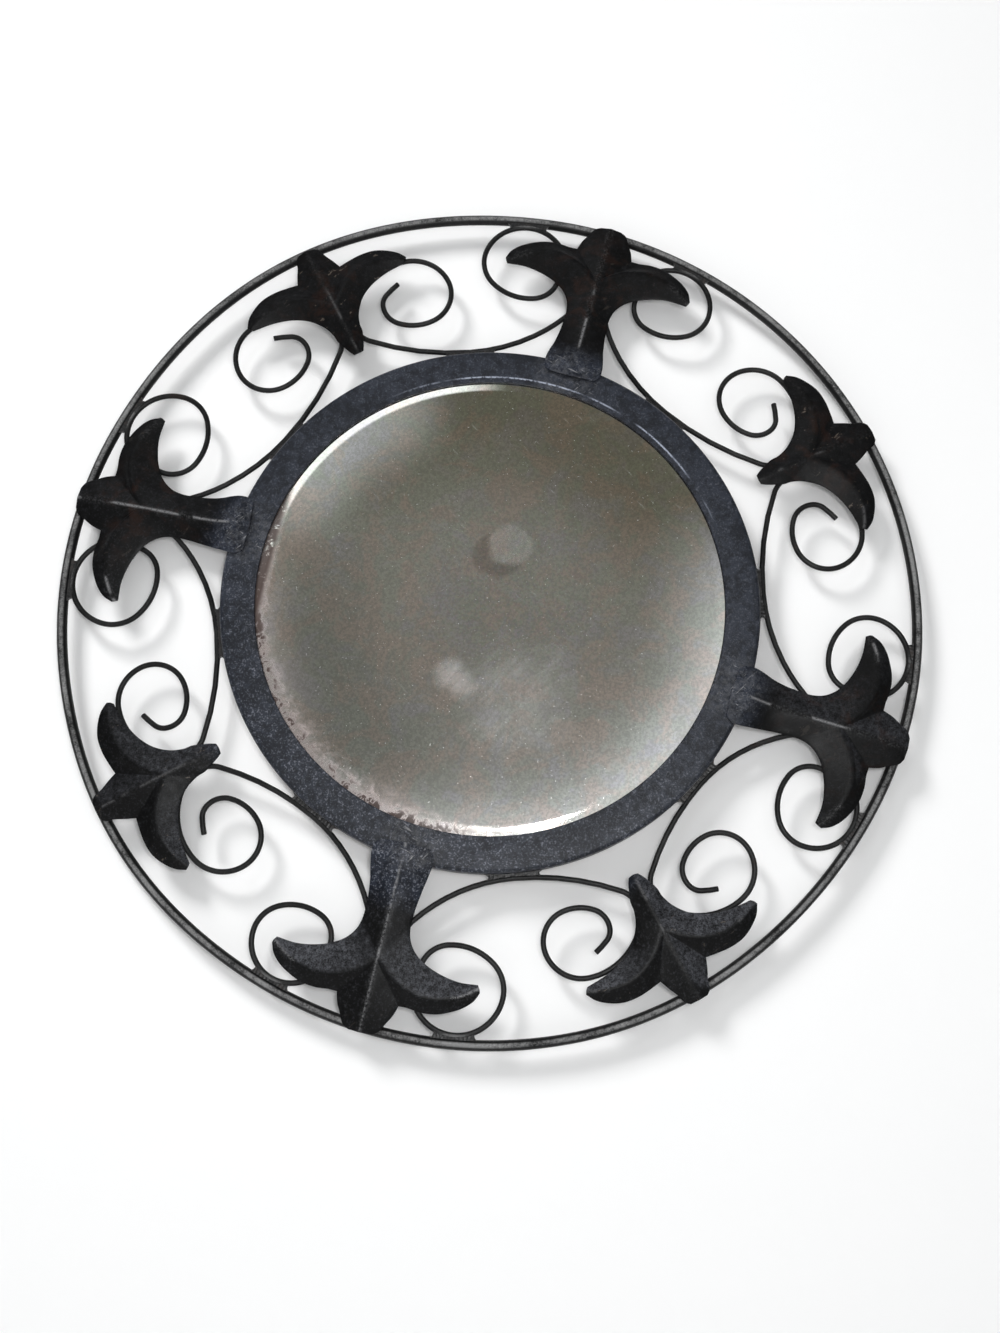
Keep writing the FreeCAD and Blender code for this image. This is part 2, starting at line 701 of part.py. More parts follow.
def main():
    """Builds every sub-part."""
    os.makedirs("parts", exist_ok=True)
    ring = outer_ring()
    export(ring, "outer_ring")
    export(mirror_rim(), "mirror_rim")
    export(mirror_glass(), "mirror_glass")
    export(backing_board(), "backing_board")
    for number in range(CLIP_COUNT):
        angle = CLIP_FIRST_ANGLE + 360.0 * number / CLIP_COUNT
        export(retaining_clip(angle), "retaining_clip_" + str(number + 1))
    export(hanger_plate(), "hanger_plate")

    flowers = []
    for number in range(len(LONG_FLOWER_ANGLES)):
        flowers.append(("long", LONG_FLOWER_ANGLES[number]))
        flowers.append(("short", SHORT_FLOWER_ANGLES[number]))
    long_bloom = long_flower()
    short_bloom = short_flower()
    tacks = []
    for number in range(len(LONG_FLOWER_ANGLES)):
        leaned = leaning(long_bloom, LONG_FLOWER_LEANS[number], LONG_STEM_SHARES[-1][1])
        export(turned(leaned, LONG_FLOWER_ANGLES[number]), "long_flower_" + str(number + 1))
        tacks.append(placed_tack(leaned, LONG_FLOWER_ANGLES[number], ring))
        leaned = leaning(short_bloom, SHORT_FLOWER_LEANS[number], SHORT_STEM_SHARES[-1][1])
        export(turned(leaned, SHORT_FLOWER_ANGLES[number]), "short_flower_" + str(number + 1))
        tacks.append(placed_tack(leaned, SHORT_FLOWER_ANGLES[number], ring))

    belly_webs = []
    ring_webs = []
    for number in range(len(flowers)):
        kind, start = flowers[number]
        finish = flowers[(number + 1) % len(flowers)][1]
        gap = (finish - start) % 360.0
        middle = start + gap / 2
        loop_angle = finish - LOOP_ANGLE if kind == "short" else start + LOOP_ANGLE
        touch = ring_radius(loop_angle) - LOOP_INSIDE_RING
        wire, centre = scroll_wire(gap / 2, touch, LOOP_SIZE_SHARES[number], CURL_SIZE_SHARES[number])
        loop = LONG_LOOP_SHARE * OPENWORK * LOOP_SIZE_SHARES[number]
        bar = turned(ring, -middle)
        if kind == "long":
            bar = flipped(bar)
        pieces = [wire, belly_web(gap / 2, wire), ring_web(centre, loop, wire, bar)]
        if kind == "long":
            pieces = [flipped(piece) for piece in pieces]
        pieces = [turned(piece, middle) for piece in pieces]
        export(pieces[0], "scroll_" + str(number + 1))
        belly_webs += pieces[1].Solids
        ring_webs += pieces[2].Solids
    export(Part.Compound(belly_webs), "belly_welds")
    export(Part.Compound(ring_webs), "loop_welds")
    export(Part.Compound(tacks), "petal_welds")


main()
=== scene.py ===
import logging
import math
from dataclasses import dataclass
from enum import Enum
from typing import Any

import bmesh
import bpy
from mathutils import Matrix, Vector, noise


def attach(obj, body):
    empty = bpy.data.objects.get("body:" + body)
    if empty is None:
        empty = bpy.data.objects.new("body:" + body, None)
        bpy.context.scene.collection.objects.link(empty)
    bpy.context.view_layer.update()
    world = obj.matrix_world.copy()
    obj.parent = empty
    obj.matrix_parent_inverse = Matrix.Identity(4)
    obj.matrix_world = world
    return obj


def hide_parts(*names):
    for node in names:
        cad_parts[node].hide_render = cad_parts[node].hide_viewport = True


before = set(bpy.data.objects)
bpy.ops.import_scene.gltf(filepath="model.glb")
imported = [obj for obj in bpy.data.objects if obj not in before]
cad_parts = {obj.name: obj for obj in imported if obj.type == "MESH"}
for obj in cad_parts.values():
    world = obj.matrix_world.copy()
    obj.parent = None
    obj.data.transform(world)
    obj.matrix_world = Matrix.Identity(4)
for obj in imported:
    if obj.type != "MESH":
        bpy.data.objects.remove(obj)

LOG = logging.getLogger("flower_wall_mirror")
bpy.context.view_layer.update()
FULL_TURN = math.tau
QUARTER_TURN = math.radians(90)
TOWARDS_VIEWER = Vector((0.0, -1.0, 0.0))
MERGE = 1e-6
TINY = 1e-9
SPAN_STEPS = 12

Triple = tuple[float, float, float]
Colour = Triple
Spots = tuple[Triple, ...]
Shares = tuple[tuple[float, ...], ...]
Mesh = bmesh.types.BMesh
Material = bpy.types.Material


# Sizes that several sub-assemblies share


@dataclass(frozen=True)
class Layout:
    """The mirror's shared sizes in metres; shares are of the openwork's width or the whole."""

    outer_diameter: float = 0.508
    rod_diameter: float = 0.006
    rim_share: float = 0.622
    rim_face: float = 0.0206
    rim_depth: float = 0.011
    rim_sheet: float = 0.0015
    lip_cover: float = 0.0051
    wire_diameter: float = 0.0032
    belly_gap: float = 0.0012
    loop_gap: float = 0.0001
    rod_corner_share: float = 1.024
    wire_corner_share: float = 1.099
    petal_span_share: float = 0.65
    long_angles: tuple[float, ...] = (18.0, 110.7, 197.2, 285.9)
    short_angles: tuple[float, ...] = (64.7, 153.2, 240.8, 333.0)
    long_leans: tuple[float, ...] = (-3.1, -2.8, -3.9, -5.2)
    short_leans: tuple[float, ...] = (1.5, -0.5, 1.3, 0.2)
    bends: Spots = ((331.0, 36.0, 0.53), (235.0, 24.0, 0.2), (132.0, 38.0, -0.48))
    loop_sizes: tuple[float, ...] = (0.95, 0.96, 0.94, 1.0, 0.89, 1.02, 1.02, 1.0)
    curl_sizes: tuple[float, ...] = (0.96, 0.95, 0.91, 0.88, 0.93, 0.9, 1.0, 1.0)
    scratched_reach: float = 0.026
    rusty_angles: tuple[float, ...] = (18.0, 285.9, 333.0, 110.7, 64.7)
    rusty_share: float = 0.6
    rusty_reach: float = 0.048
    # The radius of a painted highlight line on the rim's lip.
    lip_line: float = 0.1412

    @property
    def rod_radius(self) -> float:
        """The outer bar's own radius."""
        return self.rod_diameter / 2

    @property
    def wire_radius(self) -> float:
        """The scroll wire's own radius."""
        return self.wire_diameter / 2

    @property
    def ring_radius(self) -> float:
        """The outer bar's radius to its middle line."""
        return self.outer_diameter / 2 - self.rod_radius

    @property
    def rim_radius(self) -> float:
        """The radius of the rim's outer wall."""
        return self.outer_diameter / 2 * self.rim_share

    @property
    def rim_inside(self) -> float:
        """The inner radius of the rim's outer wall."""
        return self.rim_radius - self.rim_sheet

    @property
    def opening_radius(self) -> float:
        """The radius of the rim's opening over the glass."""
        return self.rim_radius - self.rim_face

    @property
    def glass_radius(self) -> float:
        """The glass runs under the rim's lip to here."""
        return self.opening_radius + self.lip_cover

    @property
    def openwork(self) -> float:
        """The free width between the rim's wall and the outer bar."""
        return self.ring_radius - self.rod_radius - self.rim_radius

    @property
    def wire_depth(self) -> float:
        """How far the scroll wire's middle stands off the wall."""
        return self.rod_diameter - self.wire_radius

    @property
    def belly_radius(self) -> float:
        """The radius of the wire's middle where a scroll's belly passes the rim."""
        return self.rim_radius + self.wire_radius + self.belly_gap

    @property
    def loop_inside_ring(self) -> float:
        """How far inside the bar's middle line a touching loop's middle line passes."""
        reach = self.rod_radius * self.rod_corner_share + self.wire_radius * self.wire_corner_share
        step = self.wire_depth - self.rod_radius
        return self.loop_gap + math.sqrt(reach ** 2 - step ** 2)

    def ring_radius_at(self, angle: float) -> float:
        """Gives the hand-bent bar's radius at one angle.

        Args:
            angle: Degrees clockwise from straight up.

        Returns:
            The radius to the bar's middle line.
        """
        swell = 0.0
        for middle, spread, share in self.bends:
            away = abs((angle - middle + 180.0) % 360.0 - 180.0)
            if away < spread:
                swell += share * (1 + math.cos(math.pi * away / spread)) / 2
        return self.ring_radius + swell * self.rod_diameter

    def spots(self, angles: tuple[float, ...], radius: float, reach: float) -> Spots:
        """Gives the spots at one radius: across, up and reach.

        Args:
            angles: Degrees clockwise from straight up.
            radius: Their distance from the mirror's centre.
            reach: How far each spreads.

        Returns:
            The spots.
        """
        turns = [math.radians(angle) for angle in angles]
        return tuple((radius * math.sin(turn), radius * math.cos(turn), reach) for turn in turns)


# Shader graphs


class Value:
    """A shader socket that takes part in plain arithmetic."""

    def __init__(self, graph: "Graph", socket: Any) -> None:
        """Keeps the graph and the output socket."""
        self.graph = graph
        self.socket = socket

    def _math(self, operation: str, first: Any, second: Any) -> "Value":
        """Adds one Math node.

        Args:
            operation: The Math node's operation.
            first: The first value or number.
            second: The second value or number.

        Returns:
            The result as a value.
        """
        return self.graph.value("ShaderNodeMath", 0, {"operation": operation}, {0: first, 1: second})

    def __add__(self, other: Any) -> "Value":
        """The sum."""
        return self._math("ADD", self, other)

    __radd__ = __add__

    def __sub__(self, other: Any) -> "Value":
        """The difference."""
        return self._math("SUBTRACT", self, other)

    def __rsub__(self, other: Any) -> "Value":
        """The difference with this value taken away."""
        return self._math("SUBTRACT", other, self)

    def __mul__(self, other: Any) -> "Value":
        """The product."""
        return self._math("MULTIPLY", self, other)

    __rmul__ = __mul__

    def __truediv__(self, other: Any) -> "Value":
        """The quotient."""
        return self._math("DIVIDE", self, other)

    def __rtruediv__(self, other: Any) -> "Value":
        """The quotient with this value below."""
        return self._math("DIVIDE", other, self)

    def at_most(self, other: Any) -> "Value":
        """The lesser of the two."""
        return self._math("MINIMUM", self, other)

    def at_least(self, other: Any) -> "Value":
        """The greater of the two."""
        return self._math("MAXIMUM", self, other)

    def step(self, low: float, high: float) -> "Value":
        """Rises smoothly from 0 at one value to 1 at another.

        Args:
            low: Where the result is 0; it may be the larger of the two.
            high: Where the result is 1.

        Returns:
            The smooth step.
        """
        ends = (0.0, 1.0) if low < high else (1.0, 0.0)
        return self.graph.value(
            "ShaderNodeMapRange", "Result", {"interpolation_type": "SMOOTHSTEP"},
            {"Value": self, "From Min": min(low, high), "From Max": max(low, high),
             "To Min": ends[0], "To Max": ends[1]},
        )


class Graph:
    """One material's or world's node tree, and the few ways in which nodes are added to it."""

    def __init__(self, owner: Any) -> None:
        """Empties the owner's node tree and keeps it."""
        owner.use_nodes = True
        self.tree = owner.node_tree
        self.tree.nodes.clear()

    def add(self, kind: str, settings: dict[str, Any], sockets: dict[Any, Any]) -> bpy.types.Node:
        """Adds a node.

        Args:
            kind: The node's type.
            settings: Its attributes.
            sockets: Input sockets by name or number, each a value to link or a plain number.

        Returns:
            The new node.
        """
        node = self.tree.nodes.new(kind)
        for name, value in settings.items():
            setattr(node, name, value)
        for name, value in sockets.items():
            if isinstance(value, Value):
                self.tree.links.new(value.socket, node.inputs[name])
            elif isinstance(value, tuple) and len(value) == 3 and node.inputs[name].type == "RGBA":
                node.inputs[name].default_value = (*value, 1.0)
            else:
                node.inputs[name].default_value = value
        return node

    def value(self, kind: str, output: Any, settings: dict[str, Any], sockets: dict[Any, Any]) -> Value:
        """Adds a node as add does, and gives one of its outputs.

        Args:
            kind: The node's type.
            output: The output socket's name or number.
            settings: Its attributes.
            sockets: Its input sockets.

        Returns:
            The output as a value.
        """
        return Value(self, self.add(kind, settings, sockets).outputs[output])

    def place(self) -> Value:
        """Object coordinates."""
        return self.value("ShaderNodeTexCoord", "Object", {}, {})

    def attribute(self, name: str) -> Value:
        """A piece's own attribute as a value."""
        return self.value("ShaderNodeAttribute", "Fac", {"attribute_name": name}, {})

    def noise(self, place: Value, size: float, detail: float = 3.0, rough: float = 0.55,
              warp: float = 0.0, output: Any = 0) -> Value:
        """Cloudy noise around 0.5.

        Args:
            place: The coordinates to read.
            size: The size of its clouds in metres.
            detail: How many finer layers it has.
            rough: How strong the finer layers are.
            warp: How far it is stirred.
            output: 0 for a number, "Color" for noise of every colour.

        Returns:
            The noise.
        """
        return self.value(
            "ShaderNodeTexNoise", output, {},
            {"Vector": place, "Scale": 1.0 / size, "Detail": detail, "Roughness": rough, "Distortion": warp},
        )

    def cells(self, place: Value, size: float) -> Value:
        """Cell noise: the distance to the nearest cell's middle."""
        return self.value("ShaderNodeTexVoronoi", "Distance", {}, {"Vector": place, "Scale": 1.0 / size})

    def stretched(self, place: Value, scale: Triple, turn: float = 0.0) -> Value:
        """Coordinates turned about the mirror's axis, then stretched along the axes."""
        turned = self.value("ShaderNodeMapping", 0, {}, {"Vector": place, "Rotation": (0.0, turn, 0.0)})
        return self.value("ShaderNodeMapping", 0, {}, {"Vector": turned, "Scale": scale})

    def vector(self, operation: str, first: Value, second: Triple = (0.0, 0.0, 0.0),
               output: str = "Value") -> Value:
        """One Vector Math node, read as a number or as a vector."""
        return self.value("ShaderNodeVectorMath", output, {"operation": operation}, {0: first, 1: second})

    def length(self, vector: Value) -> Value:
        """The length of a vector."""
        return self.vector("LENGTH", vector)

    def dot(self, vector: Value, way: Triple) -> Value:
        """How far a vector goes one way."""
        return self.vector("DOT_PRODUCT", vector, way)

    def away_from(self, place: Value, point: Triple) -> Value:
        """The distance from a point."""
        return self.vector("DISTANCE", place, point)

    def mix(self, factor: Any, first: Any, second: Any) -> Value:
        """Mixes two colours."""
        return self.value("ShaderNodeMix", 2, {"data_type": "RGBA"}, {0: factor, 6: first, 7: second})

    def bump(self, height: Value, distance: float, strength: float = 1.0) -> Value:
        """A normal tilted by a height."""
        sockets = {"Height": height, "Distance": distance, "Strength": strength}
        return self.value("ShaderNodeBump", "Normal", {}, sockets)

    def shader(self, kind: str, sockets: dict[Any, Any]) -> Value:
        """Adds a shader node."""
        return self.value(kind, 0, {}, sockets)

    def close(self, shader: Value, kind: str = "Material") -> None:
        """Ends the graph in a shader."""
        self.add("ShaderNodeOutput" + kind, {}, {"Surface": shader})


@dataclass(frozen=True)
class Finish:
    """A procedural finish. Each kind says what the standard surface's sockets hold."""

    name: str

    def sockets(self, graph: Graph, place: Value) -> dict[str, Any]:
        """Gives the surface's sockets.

        Args:
            graph: The material's graph.
            place: Its object coordinates.

        Returns:
            The sockets by name.
        """
        raise NotImplementedError

    def build(self) -> Material:
        """Builds the material."""
        material = bpy.data.materials.new(self.name)
        graph = Graph(material)
        graph.close(graph.shader("ShaderNodeBsdfPrincipled", self.sockets(graph, graph.place())))
        return material


# Finishes


@dataclass(frozen=True)
class SandPaint:
    """The colours and sheen of one charcoal sand-textured paint."""

    body: Colour
    pale: Colour
    # Pale flecks: gritty sand texture and painted glints in one.
    grit: Colour
    roughness: float
    coarseness: float
    shine: float


RIM_PAINT = SandPaint(
    (0.0070, 0.0088, 0.0135), (0.021, 0.025, 0.036), (0.175, 0.185, 0.220), 0.46, 0.00042, 0.38,
)
# The flowers' paint is darker than the rim's, partly a darker paint and partly painted shade for their dim
# look.
FLOWER_PAINT = SandPaint(
    (0.0018, 0.0018, 0.0019), (0.0042, 0.0043, 0.0046), (0.024, 0.025, 0.028), 0.40, 0.00022, 0.15,
)


@dataclass(frozen=True)
class TexturedPaint(Finish):
    """Charcoal paint with a fine sand texture, pale flecks that are gritty texture and painted glints, rubbed
    crests with a painted highlight, and scratches.

    Near the rim a flower has the rim's own bluer paint, since both were sprayed there together.
    """

    paint: SandPaint
    scratched: Spots
    rust_places: Spots = ()
    rim_reach: float = 0.0
    wear: float = 0.0
    chips: float = 0.0
    lip_line: float = 0.0
    front: float = 0.0112
    metal: Colour = (0.36, 0.36, 0.37)
    rust: Colour = (0.017, 0.0080, 0.0055)
    # Pale dust that also stands in as painted light from above on the upward facets.
    dust: Colour = (0.150, 0.155, 0.175)
    bare: Colour = (0.150, 0.125, 0.105)
    # The colour of the painted highlight line on the lip.
    lip: Colour = (0.42, 0.46, 0.56)

    def spots(self, graph: Graph, place: Value, points: Spots) -> Value:
        """Rises to 1 at each of a few round places.

        Args:
            graph: The material's graph.
            place: The coordinates to read.
            points: Each place: across, up and its reach.

        Returns:
            The greatest of the places' values.
        """
        spot = None
        for across, up, reach in points:
            near = graph.away_from(place, (across, -self.front, up)).step(reach, reach * 0.3)
            spot = near if spot is None else spot.at_least(near)
        return spot

    def scratches(self, graph: Graph, place: Value) -> Value:
        """Fine crossing scratches, broken up, at the scratched places."""
        thin = (0.08, 1.0, 1.0)
        hatch = graph.noise(graph.stretched(place, thin, 0.75), 0.0010, 2.0, 0.6).step(0.62, 0.69)
        cross = graph.noise(graph.stretched(place, thin, -0.5), 0.0011, 2.0, 0.6).step(0.62, 0.69)
        broken = graph.noise(place, 0.0055, 3.0, 0.7).step(0.42, 0.58)
        rubbed = graph.noise(place, 0.0030, 4.0, 0.7).step(0.40, 0.66) * 0.22
        return self.spots(graph, place, self.scratched) * (hatch.at_least(cross) * broken).at_least(rubbed)

    def worn_crests(self, graph: Graph, place: Value) -> Value:
        """Long soft dashes on the creases, rubbed metal and a painted highlight in one: none at the top,
        unbroken on the lowest flower.
        """
        dashes = graph.noise(place, 0.017, 2.0, 0.6).step(0.50, 0.58)
        ragged = graph.noise(place, 0.0012, 4.0, 0.7)
        crease = graph.attribute("lit_crease_rubbing")
        height = graph.dot(place, (0.0, 0.0, 1.0))
        lowest = height.step(-0.150, -0.162) * graph.dot(place, (-1.0, 0.0, 0.0)).step(-0.02, 0.02)
        dashes = dashes.at_least(lowest * ragged.step(0.38, 0.64) * 0.75) * height.step(0.203, 0.192)
        narrow = (crease + (ragged - 0.5) * 0.0030).step(0.0014, -0.0002) * dashes * ragged.step(0.32, 0.60)
        wide = crease.step(0.0036, 0.0) * ragged.step(0.46, 0.66) * 0.12
        return narrow.at_least(wide) * self.wear

    def worn_lip(self, graph: Graph, place: Value) -> Value:
        """A thin pale line painted round the rim's lip as its highlight, strongest at the top."""
        ragged = graph.noise(place, 0.0020, 3.0, 0.65)
        away = graph.length(place) - self.lip_line + (ragged - 0.5) * 0.0008
        away = away.at_least(away * -1.0)
        breaks = graph.noise(place, 0.026, 3.0, 0.6).step(0.34, 0.56)
        top = graph.dot(place, (0.40, 0.0, 0.92)).step(0.088, 0.128)
        return away.step(0.00075, 0.00015) * breaks * ragged.step(0.30, 0.55) * top

    def chipped(self, graph: Graph, place: Value) -> Value:
        """Small scattered chips in the paint."""
        chip = graph.noise(graph.stretched(place, (0.5, 1.0, 1.0), 0.6), 0.0034, 3.0, 0.65, 0.5)
        return chip.step(0.63, 0.69) * graph.noise(place, 0.030, 2.0, 0.6).step(0.46, 0.58)

    def sockets(self, graph: Graph, place: Value) -> dict[str, Any]:
        """Gives the surface's sockets."""
        clouds = graph.noise(place, 0.022, 4.0, 0.6)
        blotches = graph.noise(place, 0.0048, 4.0, 0.65, 0.4)
        sand = graph.noise(place, 0.0011, 3.0, 0.65)
        coarse = graph.noise(place, 0.0021, 3.0, 0.6)
        fine = graph.noise(place, 0.00075, 3.0, 0.6)
        tone = (clouds * 0.40 + blotches * 0.60).step(0.41, 0.59)
        # Painted light: the pale flecks, painted glints as much as gritty texture, grow stronger toward the
        # lower left, where light falls brighter; the rim's paint also reaches further out on the flowers
        # there.
        low = graph.dot(place, (-0.42, 0.0, -0.91)).step(-0.03, 0.15)
        grit = (sand * 0.65 + coarse * 0.35).step(0.50, 0.66) * (tone * 0.6 + 0.4) * (low * 1.1 + 0.48)
        body = graph.mix(tone, self.paint.body, self.paint.pale)
        grit_and_glint_colour: Any = self.paint.grit
        if self.rim_reach:
            by_rim = (graph.length(place) - low * 0.016).step(self.rim_reach + 0.016, self.rim_reach - 0.001)
            body = graph.mix(by_rim, body, graph.mix(tone, RIM_PAINT.body, RIM_PAINT.pale))
            grit_and_glint_colour = graph.mix(by_rim, self.paint.grit, RIM_PAINT.grit)
        if self.rust_places:
            rusty = graph.noise(place, 0.012, 4.0, 0.65, 0.6).step(0.48, 0.68)
            body = graph.mix(rusty * self.spots(graph, place, self.rust_places) * 0.7, body, self.rust)
        colour = graph.mix(grit * 0.75, body, grit_and_glint_colour)
        # Painted light: upward facets, most on the lower flowers, are paled as dust and as light falling from
        # above.
        settled_dust_and_light = (fine * 0.55 + coarse * 0.45).step(0.34, 0.68) * (tone * 0.4 + 0.6)
        colour = graph.mix(graph.attribute("dust_and_painted_light") * settled_dust_and_light * 0.62, colour, self.dust)
        if self.chips:
            colour = graph.mix(self.chipped(graph, place) * self.chips, colour, self.bare)
        # Painted highlight: a thin pale line round the lip, strongest at the top.
        if self.lip_line:
            colour = graph.mix(self.worn_lip(graph, place) * 0.85, colour, self.lip)
        # Painted highlight: the crest marks are rubbed metal and a painted highlight in one; the scratches
        # are scratches.
        wear = self.scratches(graph, place) * 0.50
        if self.wear:
            wear = wear.at_least(self.worn_crests(graph, place))
        roughness = self.paint.roughness - tone * 0.05 + (sand - 0.5) * 0.25 - wear * 0.1
        height = sand * 0.8 + coarse * 0.6 + blotches * 0.7
        return {
            "Base Color": graph.mix(wear, colour, self.metal),
            "Roughness": roughness.at_least(0.3),
            "Metallic": wear * 0.3,
            "Specular IOR Level": self.paint.shine,
            "Normal": graph.bump(height, self.paint.coarseness, 0.6),
        }


@dataclass(frozen=True)
class BlackenedIron(Finish):
    """Satin black over bent bar: scale, brush marks and a pale front of dust, rubbing and a painted highlight
    line, most of all on the ring.
    """

    ring_radius: float
    front_depth: float
    body: Colour = (0.0045, 0.0045, 0.0047)
    pale: Colour = (0.012, 0.012, 0.012)
    # The dust and rubbed colours also paint the bar's front highlight.
    dust: Colour = (0.25, 0.25, 0.25)
    rubbed: Colour = (0.40, 0.40, 0.40)
    rust: Colour = (0.024, 0.014, 0.010)
    on_wires: float = 0.04

    def sockets(self, graph: Graph, place: Value) -> dict[str, Any]:
        """Gives the surface's sockets."""
        clouds = graph.noise(place, 0.030, 4.0, 0.6)
        scale = graph.noise(place, 0.0024, 4.0, 0.65)
        grain = graph.noise(place, 0.0010, 3.0, 0.65)
        colour = graph.mix((clouds * 0.5 + scale * 0.5).step(0.40, 0.62), self.body, self.pale)
        rusty = graph.noise(place, 0.018, 3.0, 0.7, 0.5).step(0.60, 0.74)
        colour = graph.mix(rusty * 0.4, colour, self.rust)
        # Painted highlight: the ring's front crest, and faintly the wires', is paled with dust and rubbed
        # metal as the bar's highlight line.
        on_ring = graph.length(place).step(self.ring_radius - 0.006, self.ring_radius - 0.003)
        on_ring = on_ring * (1.0 - self.on_wires) + self.on_wires
        depth = graph.dot(place, tuple(TOWARDS_VIEWER))
        front = depth.step(self.front_depth - 0.0005, self.front_depth - 0.00003) * on_ring
        dust_and_painted_light = front * (clouds * 0.4 + scale * 0.3 + grain * 0.3).step(0.36, 0.60)
        colour = graph.mix(dust_and_painted_light * 0.9, colour, self.dust)
        rubbed = grain.step(0.56, 0.68) * clouds.step(0.42, 0.60) * front
        return {
            "Base Color": graph.mix(rubbed * 0.5, colour, self.rubbed),
            "Roughness": (0.36 + (grain - 0.5) * 0.35 + rusty * 0.15 + dust_and_painted_light * 0.1).at_least(0.22),
            "Metallic": rubbed * 0.3,
            "Specular IOR Level": 0.24,
            "Normal": graph.bump(scale + grain * 0.8, 0.00016, 0.55),
        }


@dataclass(frozen=True)
class WeldMetal(Finish):
    """Painted weld metal: glossier, burnt and pitted."""

    name: str = "weld_finish"
    body: Colour = (0.009, 0.009, 0.0095)
    burnt: Colour = (0.026, 0.021, 0.019)

    def sockets(self, graph: Graph, place: Value) -> dict[str, Any]:
        """Gives the surface's sockets."""
        clouds = graph.noise(place, 0.004, 4.0, 0.65)
        pits = graph.cells(place, 0.0011)
        return {
            "Base Color": graph.mix(clouds.step(0.48, 0.68), self.body, self.burnt),
            "Roughness": (0.42 + (clouds - 0.5) * 0.4).at_least(0.2),
            "Normal": graph.bump(clouds + pits.step(0.0, 0.5) * 0.35, 0.0002, 0.6),
        }


